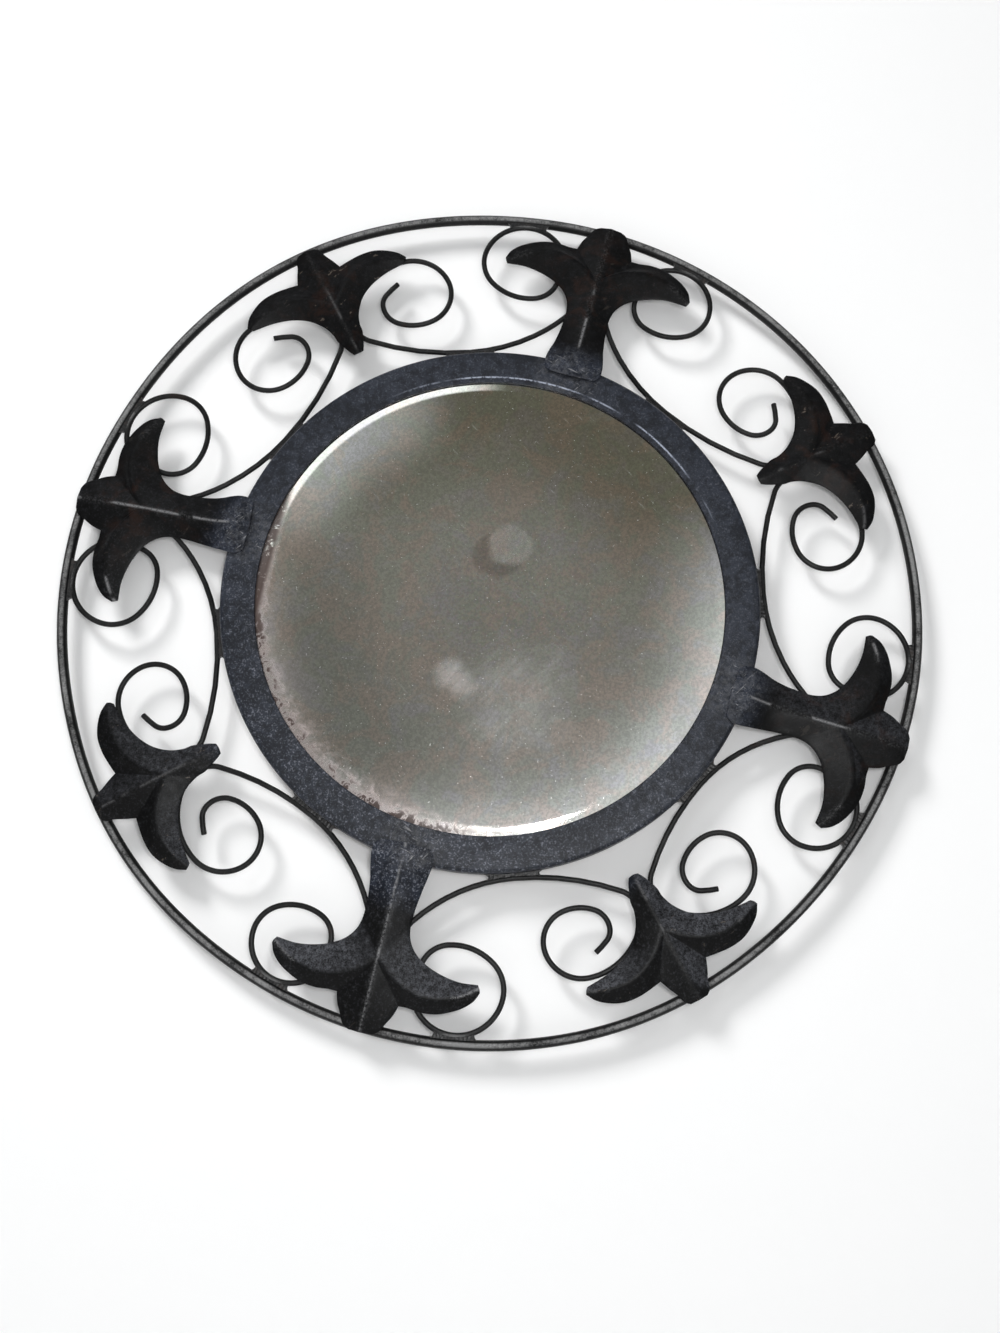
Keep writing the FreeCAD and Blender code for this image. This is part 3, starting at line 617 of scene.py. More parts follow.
@dataclass(frozen=True)
class MirrorSilver(Finish):
    """Old silvered glass: smoky and mottled, with dust and pale patches, its silver crept back at the edge.
    """

    name: str = "mirror_silver_finish"
    silver: Colour = (0.67, 0.67, 0.63)
    smoke: Colour = (0.55, 0.54, 0.50)
    green: Colour = (0.55, 0.60, 0.51)
    blush: Colour = (0.72, 0.60, 0.54)
    violet: Colour = (0.62, 0.60, 0.66)
    grey: Colour = (0.36, 0.36, 0.34)
    dust: Colour = (0.52, 0.53, 0.54)
    brown: Colour = (0.046, 0.024, 0.018)
    pink: Colour = (0.55, 0.48, 0.47)
    radius: float = 0.1374
    face: float = 0.0097

    def patch(self, graph: Graph, place: Value, across: float, up: float, reach: float, soft: float) -> Value:
        """A round patch with a wavering edge.

        Args:
            graph: The material's graph.
            place: The coordinates to read.
            across: The patch's place across.
            up: Its place up.
            reach: Its radius.
            soft: How wide its edge is, as a share of the radius.

        Returns:
            1 in the patch and 0 outside it.
        """
        waver = graph.noise(place, 0.020, 3.0, 0.6, 0.5)
        away = graph.away_from(place, (across, -self.face, up)) + (waver - 0.5) * (reach * 0.8)
        return away.step(reach, reach * (1.0 - soft))

    def film(self, graph: Graph, place: Value, wipes: Value, motes: Value) -> Value:
        """Dust, a streaked pale haze low on the glass and a pale round patch above the middle."""
        wiped = wipes.step(0.34, 0.68) * 0.5 + 0.5
        haze = self.patch(graph, place, 0.016, -0.060, 0.045, 0.75) * wiped * 0.26
        core = self.patch(graph, place, -0.0215, -0.0445, 0.0125, 0.9)
        core = core.at_least(self.patch(graph, place, -0.0160, -0.0505, 0.0135, 0.9))
        core = core * (wipes.step(0.30, 0.62) * 0.35 + 0.65) * 0.44
        mark = self.patch(graph, place, 0.012, 0.035, 0.0145, 0.3) * (wiped * 0.8 + 0.2) * 0.17
        nicks = graph.noise(graph.stretched(place, (0.10, 1.0, 1.0), -0.85), 0.0013, 2.0, 0.6)
        nicked = nicks.step(0.66, 0.72) * graph.noise(place, 0.016, 2.0, 0.6).step(0.52, 0.60) * 0.14
        return haze.at_least(core).at_least(mark).at_least(nicked) + motes * 0.35

    def tinted(self, graph: Graph, place: Value, clouds: Value, mottle: Value) -> Value:
        """The clean silver's colour, with its smoke, tints and coloured grain."""
        tint = graph.noise(graph.stretched(place, (1.0, 1.0, 1.0), 1.3), 0.022, 4.0, 0.65, 0.6)
        grain = graph.noise(place, 0.0015, 3.0, 0.7)
        upper = graph.dot(place, (0.12, 0.0, 0.99)).step(-0.09, 0.12)
        middle = self.patch(graph, place, 0.014, 0.004, 0.085, 0.8)
        colour: Any = self.silver
        for amount, tinge in (
            (clouds.step(0.35, 0.65), self.smoke),
            (mottle.step(0.42, 0.58) * (upper * 0.45 + 0.30), self.green),
            (tint.step(0.46, 0.60) * 0.75, self.blush),
            (mottle.step(0.54, 0.40) * tint.step(0.53, 0.42) * 0.6, self.violet),
            (grain.step(0.40, 0.60) * 0.50, self.grey),
            (middle * 0.13 + 0.04, graph.noise(place, 0.0019, 3.0, 0.7, output="Color")),
        ):
            colour = graph.mix(amount, colour, tinge)
        return colour

    def sockets(self, graph: Graph, place: Value) -> dict[str, Any]:
        """Gives the surface's sockets."""
        out = graph.length(place)
        clouds = graph.noise(place, 0.070, 4.0, 0.6, 0.5)
        mottle = graph.noise(place, 0.024, 4.0, 0.65, 0.8)
        creep = graph.noise(place, 0.0058, 5.0, 0.72, 0.6)
        motes = graph.noise(place, 0.0012, 2.0, 0.6).step(0.68, 0.75)
        wipes = graph.noise(graph.stretched(place, (0.22, 1.0, 1.0), 0.85), 0.0046, 4.0, 0.65, 1.2)
        colour = self.tinted(graph, place, clouds, mottle)
        shade = self.patch(graph, place, 0.0055, 0.0290, 0.0165, 0.25)
        shade = shade * (1.0 - self.patch(graph, place, 0.0135, 0.0365, 0.0175, 0.3))
        film = self.film(graph, place, wipes, motes)
        lower_left = graph.dot(place, (-0.80, 0.0, -0.60)).step(0.062, 0.122)
        left = graph.dot(place, (-0.980, 0.0, 0.20)).step(0.1276, 0.1330)
        frost = graph.dot(place, (-0.945, 0.0, -0.33)).step(0.106, 0.138) * (mottle * 0.6 + 0.5)
        stain = (out + (creep - 0.5) * 0.030).step(self.radius - 0.016, self.radius + 0.001) * lower_left
        eaten = (out + (creep - 0.5) * 0.014).step(self.radius - 0.0075, self.radius - 0.001)
        rotten = eaten * creep.step(0.46, 0.55) * lower_left
        rotten = rotten.at_least(left * creep.step(0.32, 0.44))
        for amount, tinge in (
            (shade * 0.28, self.brown), (film.at_most(0.9), self.dust),
            ((frost * 0.55).at_least(stain * 0.85), self.pink), (rotten * 0.95, self.brown),
        ):
            colour = graph.mix(amount, colour, tinge)
        haze = wipes.step(0.45, 0.75) * 0.03 + clouds.step(0.4, 0.7) * 0.03 + motes * 0.2
        return {
            "Base Color": colour,
            "Metallic": 1.0 - (rotten * 0.85 + stain * 0.22 + frost * 0.10 + film * 0.9).at_most(0.9),
            "Roughness": haze + film * 0.15 + stain * 0.20 + rotten * 0.4 + 0.05,
            "Coat Weight": 0.5,
            "Coat Roughness": 0.03,
        }


@dataclass(frozen=True)
class ZincSteel(Finish):
    """Dull zinc-plated strip with a faint spangle."""

    name: str = "zinc_finish"
    bright: Colour = (0.60, 0.61, 0.62)
    dull: Colour = (0.40, 0.41, 0.42)

    def sockets(self, graph: Graph, place: Value) -> dict[str, Any]:
        """Gives the surface's sockets."""
        spangle = graph.cells(place, 0.0045)
        clouds = graph.noise(place, 0.006, 4.0, 0.6)
        return {
            "Base Color": graph.mix((spangle * 0.6 + clouds * 0.5).step(0.25, 0.75), self.bright, self.dull),
            "Metallic": 1.0,
            "Roughness": 0.34 + clouds * 0.22,
            "Normal": graph.bump(clouds, 0.00008, 0.4),
        }


@dataclass(frozen=True)
class Hardboard(Finish):
    """Smooth brown hardboard with pressed fibres."""

    name: str = "hardboard_finish"
    light: Colour = (0.30, 0.185, 0.105)
    dark: Colour = (0.155, 0.085, 0.045)

    def sockets(self, graph: Graph, place: Value) -> dict[str, Any]:
        """Gives the surface's sockets."""
        clouds = graph.noise(place, 0.035, 4.0, 0.6)
        long_fibres = graph.noise(graph.stretched(place, (0.25, 1.0, 1.0), 0.5), 0.0012, 4.0, 0.7, 1.0)
        cross_fibres = graph.noise(graph.stretched(place, (1.0, 1.0, 0.25), 0.2), 0.0012, 4.0, 0.7, 1.0)
        fibres = long_fibres * 0.5 + cross_fibres * 0.5
        return {
            "Base Color": graph.mix((fibres * 0.7 + clouds * 0.3).step(0.36, 0.62), self.dark, self.light),
            "Roughness": 0.55 + fibres * 0.3,
            "Normal": graph.bump(fibres, 0.00012, 0.5),
        }


# Mesh helpers


def at(across: float, depth: float, up: float) -> Vector:
    """A point in front of the wall: right, depth, up."""
    return Vector((across, -depth, up))


def clockwise(angle: float) -> Matrix:
    """A turn about the mirror's axis, clockwise for the viewer, in degrees."""
    return Matrix.Rotation(math.radians(angle), 4, "Y")


def lean_about(height: float, angle: float) -> Matrix:
    """A clockwise turn about a point straight above the mirror's centre.

    Args:
        height: The point's height.
        angle: The turn in degrees.

    Returns:
        The turn as a matrix.
    """
    middle = Vector((0.0, 0.0, height))
    return Matrix.Translation(middle) @ clockwise(angle) @ Matrix.Translation(-middle)


def smooth_line(points: list[Vector]) -> list[Vector]:
    """Draws a smooth line through points, with SPAN_STEPS steps from each to the next.

    Args:
        points: The points, in order.

    Returns:
        Points on the line; every SPAN_STEPS-th one is a given point.
    """
    padded = [2 * points[0] - points[1], *points, 2 * points[-1] - points[-2]]
    line = [points[0].copy()]
    for start in range(1, len(padded) - 2):
        p0, p1, p2, p3 = padded[start - 1:start + 3]
        d1, d2, d3 = (max((end - begin).length, TINY) ** 0.5
                      for begin, end in ((p0, p1), (p1, p2), (p2, p3)))
        out = ((p1 - p0) / d1 - (p2 - p0) / (d1 + d2) + (p2 - p1) / d2) * d2
        back = ((p2 - p1) / d2 - (p3 - p1) / (d2 + d3) + (p3 - p2) / d3) * d2
        for step in range(1, SPAN_STEPS + 1):
            t = step / SPAN_STEPS
            line.append(
                p1 * (2 * t ** 3 - 3 * t ** 2 + 1) + out * (t ** 3 - 2 * t ** 2 + t)
                + p2 * (3 * t ** 2 - 2 * t ** 3) + back * (t ** 3 - t ** 2)
            )
    return line


def even_steps(line: list[Vector], count: int) -> list[Vector]:
    """Divides a line into steps of one length.

    Args:
        line: The line's points.
        count: The number of steps.

    Returns:
        The count + 1 points.
    """
    lengths = [0.0]
    for start, end in zip(line, line[1:]):
        lengths.append(lengths[-1] + (end - start).length)
    marks = [line[0].copy()]
    place = 0
    for number in range(1, count):
        goal = lengths[-1] * number / count
        while lengths[place + 1] < goal:
            place += 1
        span = max(lengths[place + 1] - lengths[place], TINY)
        marks.append(line[place].lerp(line[place + 1], (goal - lengths[place]) / span))
    marks.append(line[-1].copy())
    return marks


def picked(geometry: Any, kind: type) -> list[Any]:
    """Picks the vertices, edges or faces out of an operator's result."""
    return [item for item in geometry if isinstance(item, kind)]


def chain(mesh: Mesh, points: list[Vector], closed: bool = False) -> list[Any]:
    """Adds a row of vertices joined by edges.

    Args:
        mesh: The mesh.
        points: Where the vertices stand.
        closed: Whether the last joins the first.

    Returns:
        The edges.
    """
    vertices = [mesh.verts.new(point) for point in points]
    pairs = list(zip(vertices, vertices[1:]))
    if closed:
        pairs.append((vertices[-1], vertices[0]))
    return [mesh.edges.new(pair) for pair in pairs]


def bridge(mesh: Mesh, first: list[Vector], second: list[Vector], cuts: int) -> None:
    """Adds a strip of faces between two rows of points.

    Args:
        mesh: The mesh.
        first: One row.
        second: The other row, as long.
        cuts: How many cuts run along the strip.
    """
    edges = chain(mesh, first) + chain(mesh, second)
    made = bmesh.ops.bridge_loops(mesh, edges=edges)
    across = {edge for face in made["faces"] for edge in face.edges} - set(edges)
    bmesh.ops.subdivide_edges(mesh, edges=list(across), cuts=cuts, use_grid_fill=True)


def circle(mesh: Mesh, middle: Vector, radius: float, steps: int, turn: str, filled: bool = False) -> Any:
    """Adds a circle.

    Args:
        mesh: The mesh.
        middle: Its middle.
        radius: Its radius.
        steps: The steps round it.
        turn: The axis about which it is turned by 90 degrees out of the ground plane.
        filled: Whether it gets a face.

    Returns:
        Its vertices.
    """
    return bmesh.ops.create_circle(
        mesh, cap_ends=filled, segments=steps, radius=radius,
        matrix=Matrix.Translation(middle) @ Matrix.Rotation(QUARTER_TURN, 4, turn),
    )["verts"]


def spun(mesh: Mesh, steps: int) -> None:
    """Spins all of a profile once round the mirror's axis, and closes it."""
    geometry = mesh.verts[:] + mesh.edges[:]
    bmesh.ops.spin(
        mesh, geom=geometry, cent=(0, 0, 0), axis=(0, 1, 0), angle=FULL_TURN, steps=steps, use_merge=True,
    )
    bmesh.ops.remove_doubles(mesh, verts=mesh.verts[:], dist=MERGE)


def rounded(mesh: Mesh, geometry: list[Any], width: float, segments: int, affect: str = "EDGES") -> None:
    """Rounds edges or corners.

    Args:
        mesh: The mesh.
        geometry: The edges, or vertices.
        width: How wide the rounding is.
        segments: Its steps.
        affect: "EDGES" or "VERTICES".
    """
    bmesh.ops.bevel(
        mesh, geom=geometry, offset=width, segments=segments, profile=0.5, affect=affect, material=-1,
    )


def rounded_outline(mesh: Mesh, corners: list[tuple[Vector, float]], segments: int) -> None:
    """Draws a closed outline with rounded corners, as bare edges.

    Args:
        mesh: An empty mesh.
        corners: Each corner and its rounding.
        segments: The steps in a rounded corner.
    """
    face = mesh.faces.new([mesh.verts.new(point) for point, _ in corners])
    for vertex, (_, rounding) in zip(list(face.verts), corners):
        rounded(mesh, [vertex], rounding, segments, "VERTICES")
    bmesh.ops.delete(mesh, geom=mesh.faces[:], context="FACES_ONLY")


def thickened(mesh: Mesh, faces: list[Any], move: Vector) -> Any:
    """Extrudes faces.

    Args:
        mesh: The mesh.
        faces: The faces.
        move: How far and which way.

    Returns:
        The first of the moved faces.
    """
    made = bmesh.ops.extrude_face_region(mesh, geom=faces)["geom"]
    bmesh.ops.translate(mesh, verts=picked(made, bmesh.types.BMVert), vec=move)
    return picked(made, bmesh.types.BMFace)[0]


def face_viewer(mesh: Mesh) -> None:
    """Turns an open sheet's faces so that they look at the viewer."""
    if sum(face.normal.y for face in mesh.faces) > 0:
        bmesh.ops.reverse_faces(mesh, faces=mesh.faces[:])


@dataclass(frozen=True)
class Workshop:
    """Turns finished meshes into pieces of the mirror."""

    body: str = "root"

    def piece(self, name: str, mesh: Mesh, material: Material, slot: str, node: str, sharp: float = 40.0,
              is_open: bool = False) -> bpy.types.Object:
        """Makes a piece and hangs it on the mirror.

        Args:
            name: The piece's name.
            mesh: Its mesh, which is used up.
            material: Its finish.
            slot: The material slot's name; not used.
            node: The CAD node it stands for.
            sharp: Edges that turn more than this many degrees stay sharp.
            is_open: Whether it is an open sheet whose faces already look the right way.

        Returns:
            The piece.
        """
        if not is_open:
            bmesh.ops.recalc_face_normals(mesh, faces=mesh.faces[:])
        for face in mesh.faces:
            face.smooth = True
        data = bpy.data.meshes.new(name)
        mesh.to_mesh(data)
        mesh.free()
        if not is_open:
            data.set_sharp_from_angle(angle=math.radians(sharp))
        data.materials.append(material)
        made = bpy.data.objects.new(name, data)
        bpy.context.scene.collection.objects.link(made)
        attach(made, self.body)
        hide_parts(node)
        LOG.info("%s: %d faces, stands for %s", name, len(data.polygons), node)
        return made

    def solidify(self, made: bpy.types.Object, thickness: float, offset: float) -> None:
        """Gives a sheet its thickness.

        Args:
            made: The piece.
            thickness: The sheet's thickness.
            offset: 1 thickens the side the faces look to, -1 the other, 0 both.
        """
        wall = made.modifiers.new("sheet", "SOLIDIFY")
        wall.thickness = thickness
        wall.offset = offset
        wall.use_even_offset = True

    def soften(self, made: bpy.types.Object, width: float, angle: float = 50.0) -> None:
        """Rounds a piece's sharp edges.

        Args:
            made: The piece.
            width: How wide the rounding is.
            angle: Edges that turn more than this many degrees are rounded.
        """
        round_off = made.modifiers.new("edges", "BEVEL")
        round_off.width = width
        round_off.segments = 2
        round_off.limit_method = "ANGLE"
        round_off.angle_limit = math.radians(angle)
        round_off.use_clamp_overlap = True


# Sub-assemblies


@dataclass
class Assembly:
    """A part of the mirror, built from the shared sizes with the workshop's tools."""

    layout: Layout
    workshop: Workshop


@dataclass
class OuterBar(Assembly):
    """The round bar round the wreath, a little out of round."""

    sides: int = 24
    steps: int = 360

    def build(self, finish: Material) -> None:
        """Builds the bar.

        Args:
            finish: Its finish.
        """
        lay = self.layout
        mesh = bmesh.new()
        circle(mesh, at(0, lay.rod_radius, lay.ring_radius), lay.rod_radius, self.sides, "Y")
        spun(mesh, self.steps)
        for vertex in mesh.verts:
            angle = math.degrees(math.atan2(vertex.co.x, vertex.co.z)) % 360.0
            share = lay.ring_radius_at(angle) / lay.ring_radius
            vertex.co.x *= share
            vertex.co.z *= share
        self.workshop.piece("outer_bar", mesh, finish, "blackened_iron", "outer_ring", 80.0)


@dataclass
class MirrorRim(Assembly):
    """The stamped rim: a flat face, a rounded shoulder and a wall back to the wall plane."""

    shoulder: float = 0.0026
    lip_round: float = 0.0006
    lip_back_round: float = 0.0002
    wall_round: float = 0.0003
    corner_steps: int = 6
    steps: int = 256

    def build(self, finish: Material) -> None:
        """Builds the rim.

        Args:
            finish: Its finish.
        """
        lay = self.layout
        front, back = lay.rim_depth, lay.rim_depth - lay.rim_sheet
        mesh = bmesh.new()
        rounded_outline(mesh, [
            (at(lay.opening_radius, back, 0), self.lip_back_round),
            (at(lay.opening_radius, front, 0), self.lip_round),
            (at(lay.rim_radius, front, 0), self.shoulder),
            (at(lay.rim_radius, 0, 0), self.wall_round),
            (at(lay.rim_inside, 0, 0), self.wall_round),
            (at(lay.rim_inside, back, 0), self.shoulder - lay.rim_sheet),
        ], self.corner_steps)
        spun(mesh, self.steps)
        self.workshop.piece("mirror_rim_sheet", mesh, finish, "textured_paint", "mirror_rim", 35.0)


@dataclass
class MirrorGlass(Assembly):
    """The round glass with its ground bevel."""

    thickness: float = 0.004
    bevel_width: float = 0.0094
    bevel_drop: float = 0.0012
    face_drop: float = 0.00105
    arris: float = 0.0018
    arris_steps: int = 8
    flat_border: float = 0.0003
    steps: int = 256

    @property
    def front(self) -> float:
        """The depth of the glass's flat front."""
        return self.layout.rim_depth - self.face_drop

    def build(self, finish: Material) -> None:
        """Builds the glass, its ground bevel meeting the flat in a softly polished arris.

        Args:
            finish: Its finish.
        """
        mesh = bmesh.new()
        middle = at(0, self.front - self.thickness, 0)
        circle(mesh, middle, self.layout.glass_radius, self.steps, "X", filled=True)
        top = thickened(mesh, mesh.faces[:], TOWARDS_VIEWER * (self.thickness - self.bevel_drop))
        bmesh.ops.inset_region(mesh, faces=[top], thickness=self.bevel_width, use_even_offset=False)
        bmesh.ops.translate(mesh, verts=list(top.verts), vec=TOWARDS_VIEWER * self.bevel_drop)
        rounded(mesh, list(top.edges), self.arris, self.arris_steps)
        top = max(mesh.faces, key=lambda face: (len(face.verts), -face.calc_center_median().y))
        bmesh.ops.inset_region(mesh, faces=[top], thickness=self.flat_border, use_even_offset=False)
        self.workshop.piece("bevelled_glass", mesh, finish, "mirror_glass", "mirror_glass", 5.0)


@dataclass
class BackingBoard(Assembly):
    """The hardboard disc behind the glass."""

    glass: MirrorGlass
    thickness: float = 0.003
    inset: float = 0.001
    edge: float = 0.0003
    steps: int = 192

    @property
    def back(self) -> float:
        """The depth of the board's back."""
        return self.glass.front - self.glass.thickness - self.thickness

    @property
    def radius(self) -> float:
        """The board's radius."""
        return self.layout.glass_radius - self.inset

    def build(self, finish: Material) -> None:
        """Builds the board.

        Args:
            finish: Its finish.
        """
        mesh = bmesh.new()
        circle(mesh, at(0, self.back, 0), self.radius, self.steps, "X", filled=True)
        thickened(mesh, mesh.faces[:], TOWARDS_VIEWER * self.thickness)
        made = self.workshop.piece("hardboard_back", mesh, finish, "hardboard", "backing_board", 30.0)
        self.workshop.soften(made, self.edge)


@dataclass
class RetainingClips(Assembly):
    """The six bent clips that hold the glass and the board in the rim."""

    board: BackingBoard
    count: int = 6
    first_angle: float = 30.0
    width: float = 0.014
    sheet: float = 0.001
    foot: float = 0.008
    finger: float = 0.013
    bend: float = 0.0016
    bend_steps: int = 6
    gap: float = 0.0004
    edge: float = 0.00015

    def build(self, finish: Material) -> None:
        """Builds the clips.

        Args:
            finish: Their finish.
        """
        half = self.sheet / 2
        inner = self.layout.glass_radius + self.gap
        front = self.layout.rim_depth - self.layout.rim_sheet - half
        back = self.board.back - half
        for number in range(self.count):
            mesh = bmesh.new()
            edges = chain(mesh, [at(-self.width / 2, depth, up) for depth, up in (
                (front, inner + self.sheet + self.foot), (front, inner + half),
                (back, inner + half), (back, inner - self.finger),
            )])
            made = bmesh.ops.extrude_edge_only(mesh, edges=edges)["geom"]
            bmesh.ops.translate(mesh, verts=picked(made, bmesh.types.BMVert), vec=(self.width, 0, 0))
            bends = [edge for edge in mesh.edges if len(edge.link_faces) == 2]
            rounded(mesh, bends, self.bend - half, self.bend_steps)
            turn = clockwise(self.first_angle + 360.0 * number / self.count)
            bmesh.ops.transform(mesh, matrix=turn, verts=mesh.verts[:])
            own = str(number + 1)
            made = self.workshop.piece(
                "clip_strip_" + own, mesh, finish, "zinc_steel", "retaining_clip_" + own, 30.0,
            )
            self.workshop.solidify(made, self.sheet, 0.0)
            self.workshop.soften(made, self.edge)


@dataclass
class HangerPlate(Assembly):
    """The small plate behind the top of the rim, with the hole for the wall hook."""

    board: BackingBoard
    width: float = 0.046
    clear: float = 0.001
    sheet: float = 0.0015
    hole: float = 0.0065
    hole_steps: int = 40
    corner: float = 0.004
    corner_steps: int = 6
    arc_steps: int = 16
    edge: float = 0.0002

    def outline(self, inside: float, low: float) -> list[Vector]:
        """Draws the plate's outline: an arc along the rim above and two rounded corners below.

        Args:
            inside: The arc's radius.
            low: The height of its lower edge.

        Returns:
            The outline's points.
        """
        half = self.width / 2
        line = []
        for step in range(self.arc_steps + 1):
            across = half * (2 * step / self.arc_steps - 1)
            line.append(at(across, 0, math.sqrt(inside ** 2 - across ** 2)))
        turns = [QUARTER_TURN * step / self.corner_steps for step in range(self.corner_steps + 1)]
        for side, order in ((1, turns), (-1, turns[::-1])):
            for turn in order:
                across = half - self.corner + self.corner * math.cos(turn)
                line.append(at(side * across, 0, low + self.corner - self.corner * math.sin(turn)))
        return line

    def build(self, finish: Material) -> None:
        """Builds the plate.

        Args:
            finish: Its finish.
        """
        inside = self.layout.rim_inside
        low = self.board.radius + self.clear
        mesh = bmesh.new()
        edges = chain(mesh, self.outline(inside, low), closed=True)
        ring = circle(mesh, at(0, 0, (inside + low) / 2), self.hole / 2, self.hole_steps, "X")
        edges += list({edge for vertex in ring for edge in vertex.link_edges})
        bmesh.ops.triangle_fill(mesh, use_beauty=True, edges=edges, normal=(0, -1, 0))
        bmesh.ops.dissolve_limit(
            mesh, angle_limit=0.01, verts=mesh.verts[:], edges=mesh.edges[:], use_dissolve_boundaries=False,
        )
        mesh.normal_update()
        face_viewer(mesh)
        thickened(mesh, mesh.faces[:], TOWARDS_VIEWER * self.sheet)
        made = self.workshop.piece("hook_plate", mesh, finish, "textured_paint", "hanger_plate", 30.0)
        self.workshop.soften(made, self.edge)


class FlowerKind(Enum):
    """The two flowers: one with a stem up onto the rim's face, one with a stub."""

    LONG = "long"
    SHORT = "short"


@dataclass(frozen=True)
class FlowerPattern:
    """A flower's outlines and creases as shares: across of the half span, up of the openwork.

    Creases have a third share, their height over the edges.
    """

    stem: Shares
    under: Shares
    over: Shares
    top: Shares
    ridge: Shares
    crest: Shares
    top_crest: Shares
    on_rim: bool


PATTERNS = {
    FlowerKind.LONG: FlowerPattern(
        stem=((0.245, -0.094), (0.293, -0.055), (0.299, 0.0), (0.284, 0.055), (0.262, 0.115), (0.243, 0.19),
              (0.228, 0.3), (0.227, 0.39)),
        under=((0.258, 0.47), (0.34, 0.541), (0.465, 0.593), (0.62, 0.628), (0.79, 0.645), (0.978, 0.636)),
        over=((1.0, 0.671), (0.968, 0.725), (0.89, 0.778), (0.77, 0.825), (0.65, 0.855), (0.51, 0.866),
              (0.38, 0.859), (0.296, 0.862)),
        top=((0.296, 0.862), (0.265, 0.925), (0.214, 0.985), (0.165, 1.04), (0.105, 1.06)),
        ridge=((0.0, 0.622, 1.0), (0.12, 0.69, 1.0), (0.26, 0.742, 1.0), (0.45, 0.778, 0.93),
               (0.65, 0.768, 0.76), (0.84, 0.722, 0.5), (0.995, 0.652, 0.14)),
        crest=((0.0, -0.103, 0.3), (0.0, -0.04, 0.42), (0.0, 0.0, 0.48), (0.0, 0.055, 0.56),
               (0.0, 0.115, 0.66), (0.0, 0.19, 0.76), (0.0, 0.35, 0.86), (0.0, 0.5, 0.92), (0.0, 0.622, 1.0)),
        top_crest=((0.0, 0.622, 1.0), (0.0, 0.75, 0.95), (0.0, 0.87, 0.85), (0.0, 0.97, 0.62),
                   (0.0, 1.066, 0.28)),
        on_rim=True,
    ),
    FlowerKind.SHORT: FlowerPattern(
        stem=((0.045, 0.224), (0.075, 0.256), (0.105, 0.3), (0.138, 0.355), (0.147, 0.41)),
        under=((0.192, 0.49), (0.305, 0.583), (0.46, 0.644), (0.65, 0.679), (0.88, 0.692)),
        over=((0.918, 0.722), (0.865, 0.777), (0.77, 0.827), (0.65, 0.865), (0.51, 0.878), (0.375, 0.873),
              (0.244, 0.862)),
        top=((0.244, 0.862), (0.205, 0.922), (0.158, 0.983), (0.128, 1.04), (0.085, 1.062)),
        ridge=((0.0, 0.6, 0.95), (0.13, 0.68, 0.97), (0.27, 0.738, 0.95), (0.46, 0.775, 0.86),
               (0.65, 0.77, 0.7), (0.81, 0.738, 0.45), (0.905, 0.706, 0.16)),
        crest=((0.0, 0.218, 0.2), (0.0, 0.3, 0.55), (0.0, 0.41, 0.76), (0.0, 0.5, 0.86), (0.0, 0.6, 0.95)),
        top_crest=((0.0, 0.6, 0.95), (0.0, 0.74, 0.9), (0.0, 0.87, 0.8), (0.0, 0.97, 0.6),
                   (0.0, 1.0655, 0.28)),
        on_rim=False,
    ),
}


# How strongly the crests are rubbed and painted with highlight, and how chipped each kind's paint is
FLOWER_AGES = {FlowerKind.LONG: (0.75, 0.12), FlowerKind.SHORT: (0.22, 0.55)}


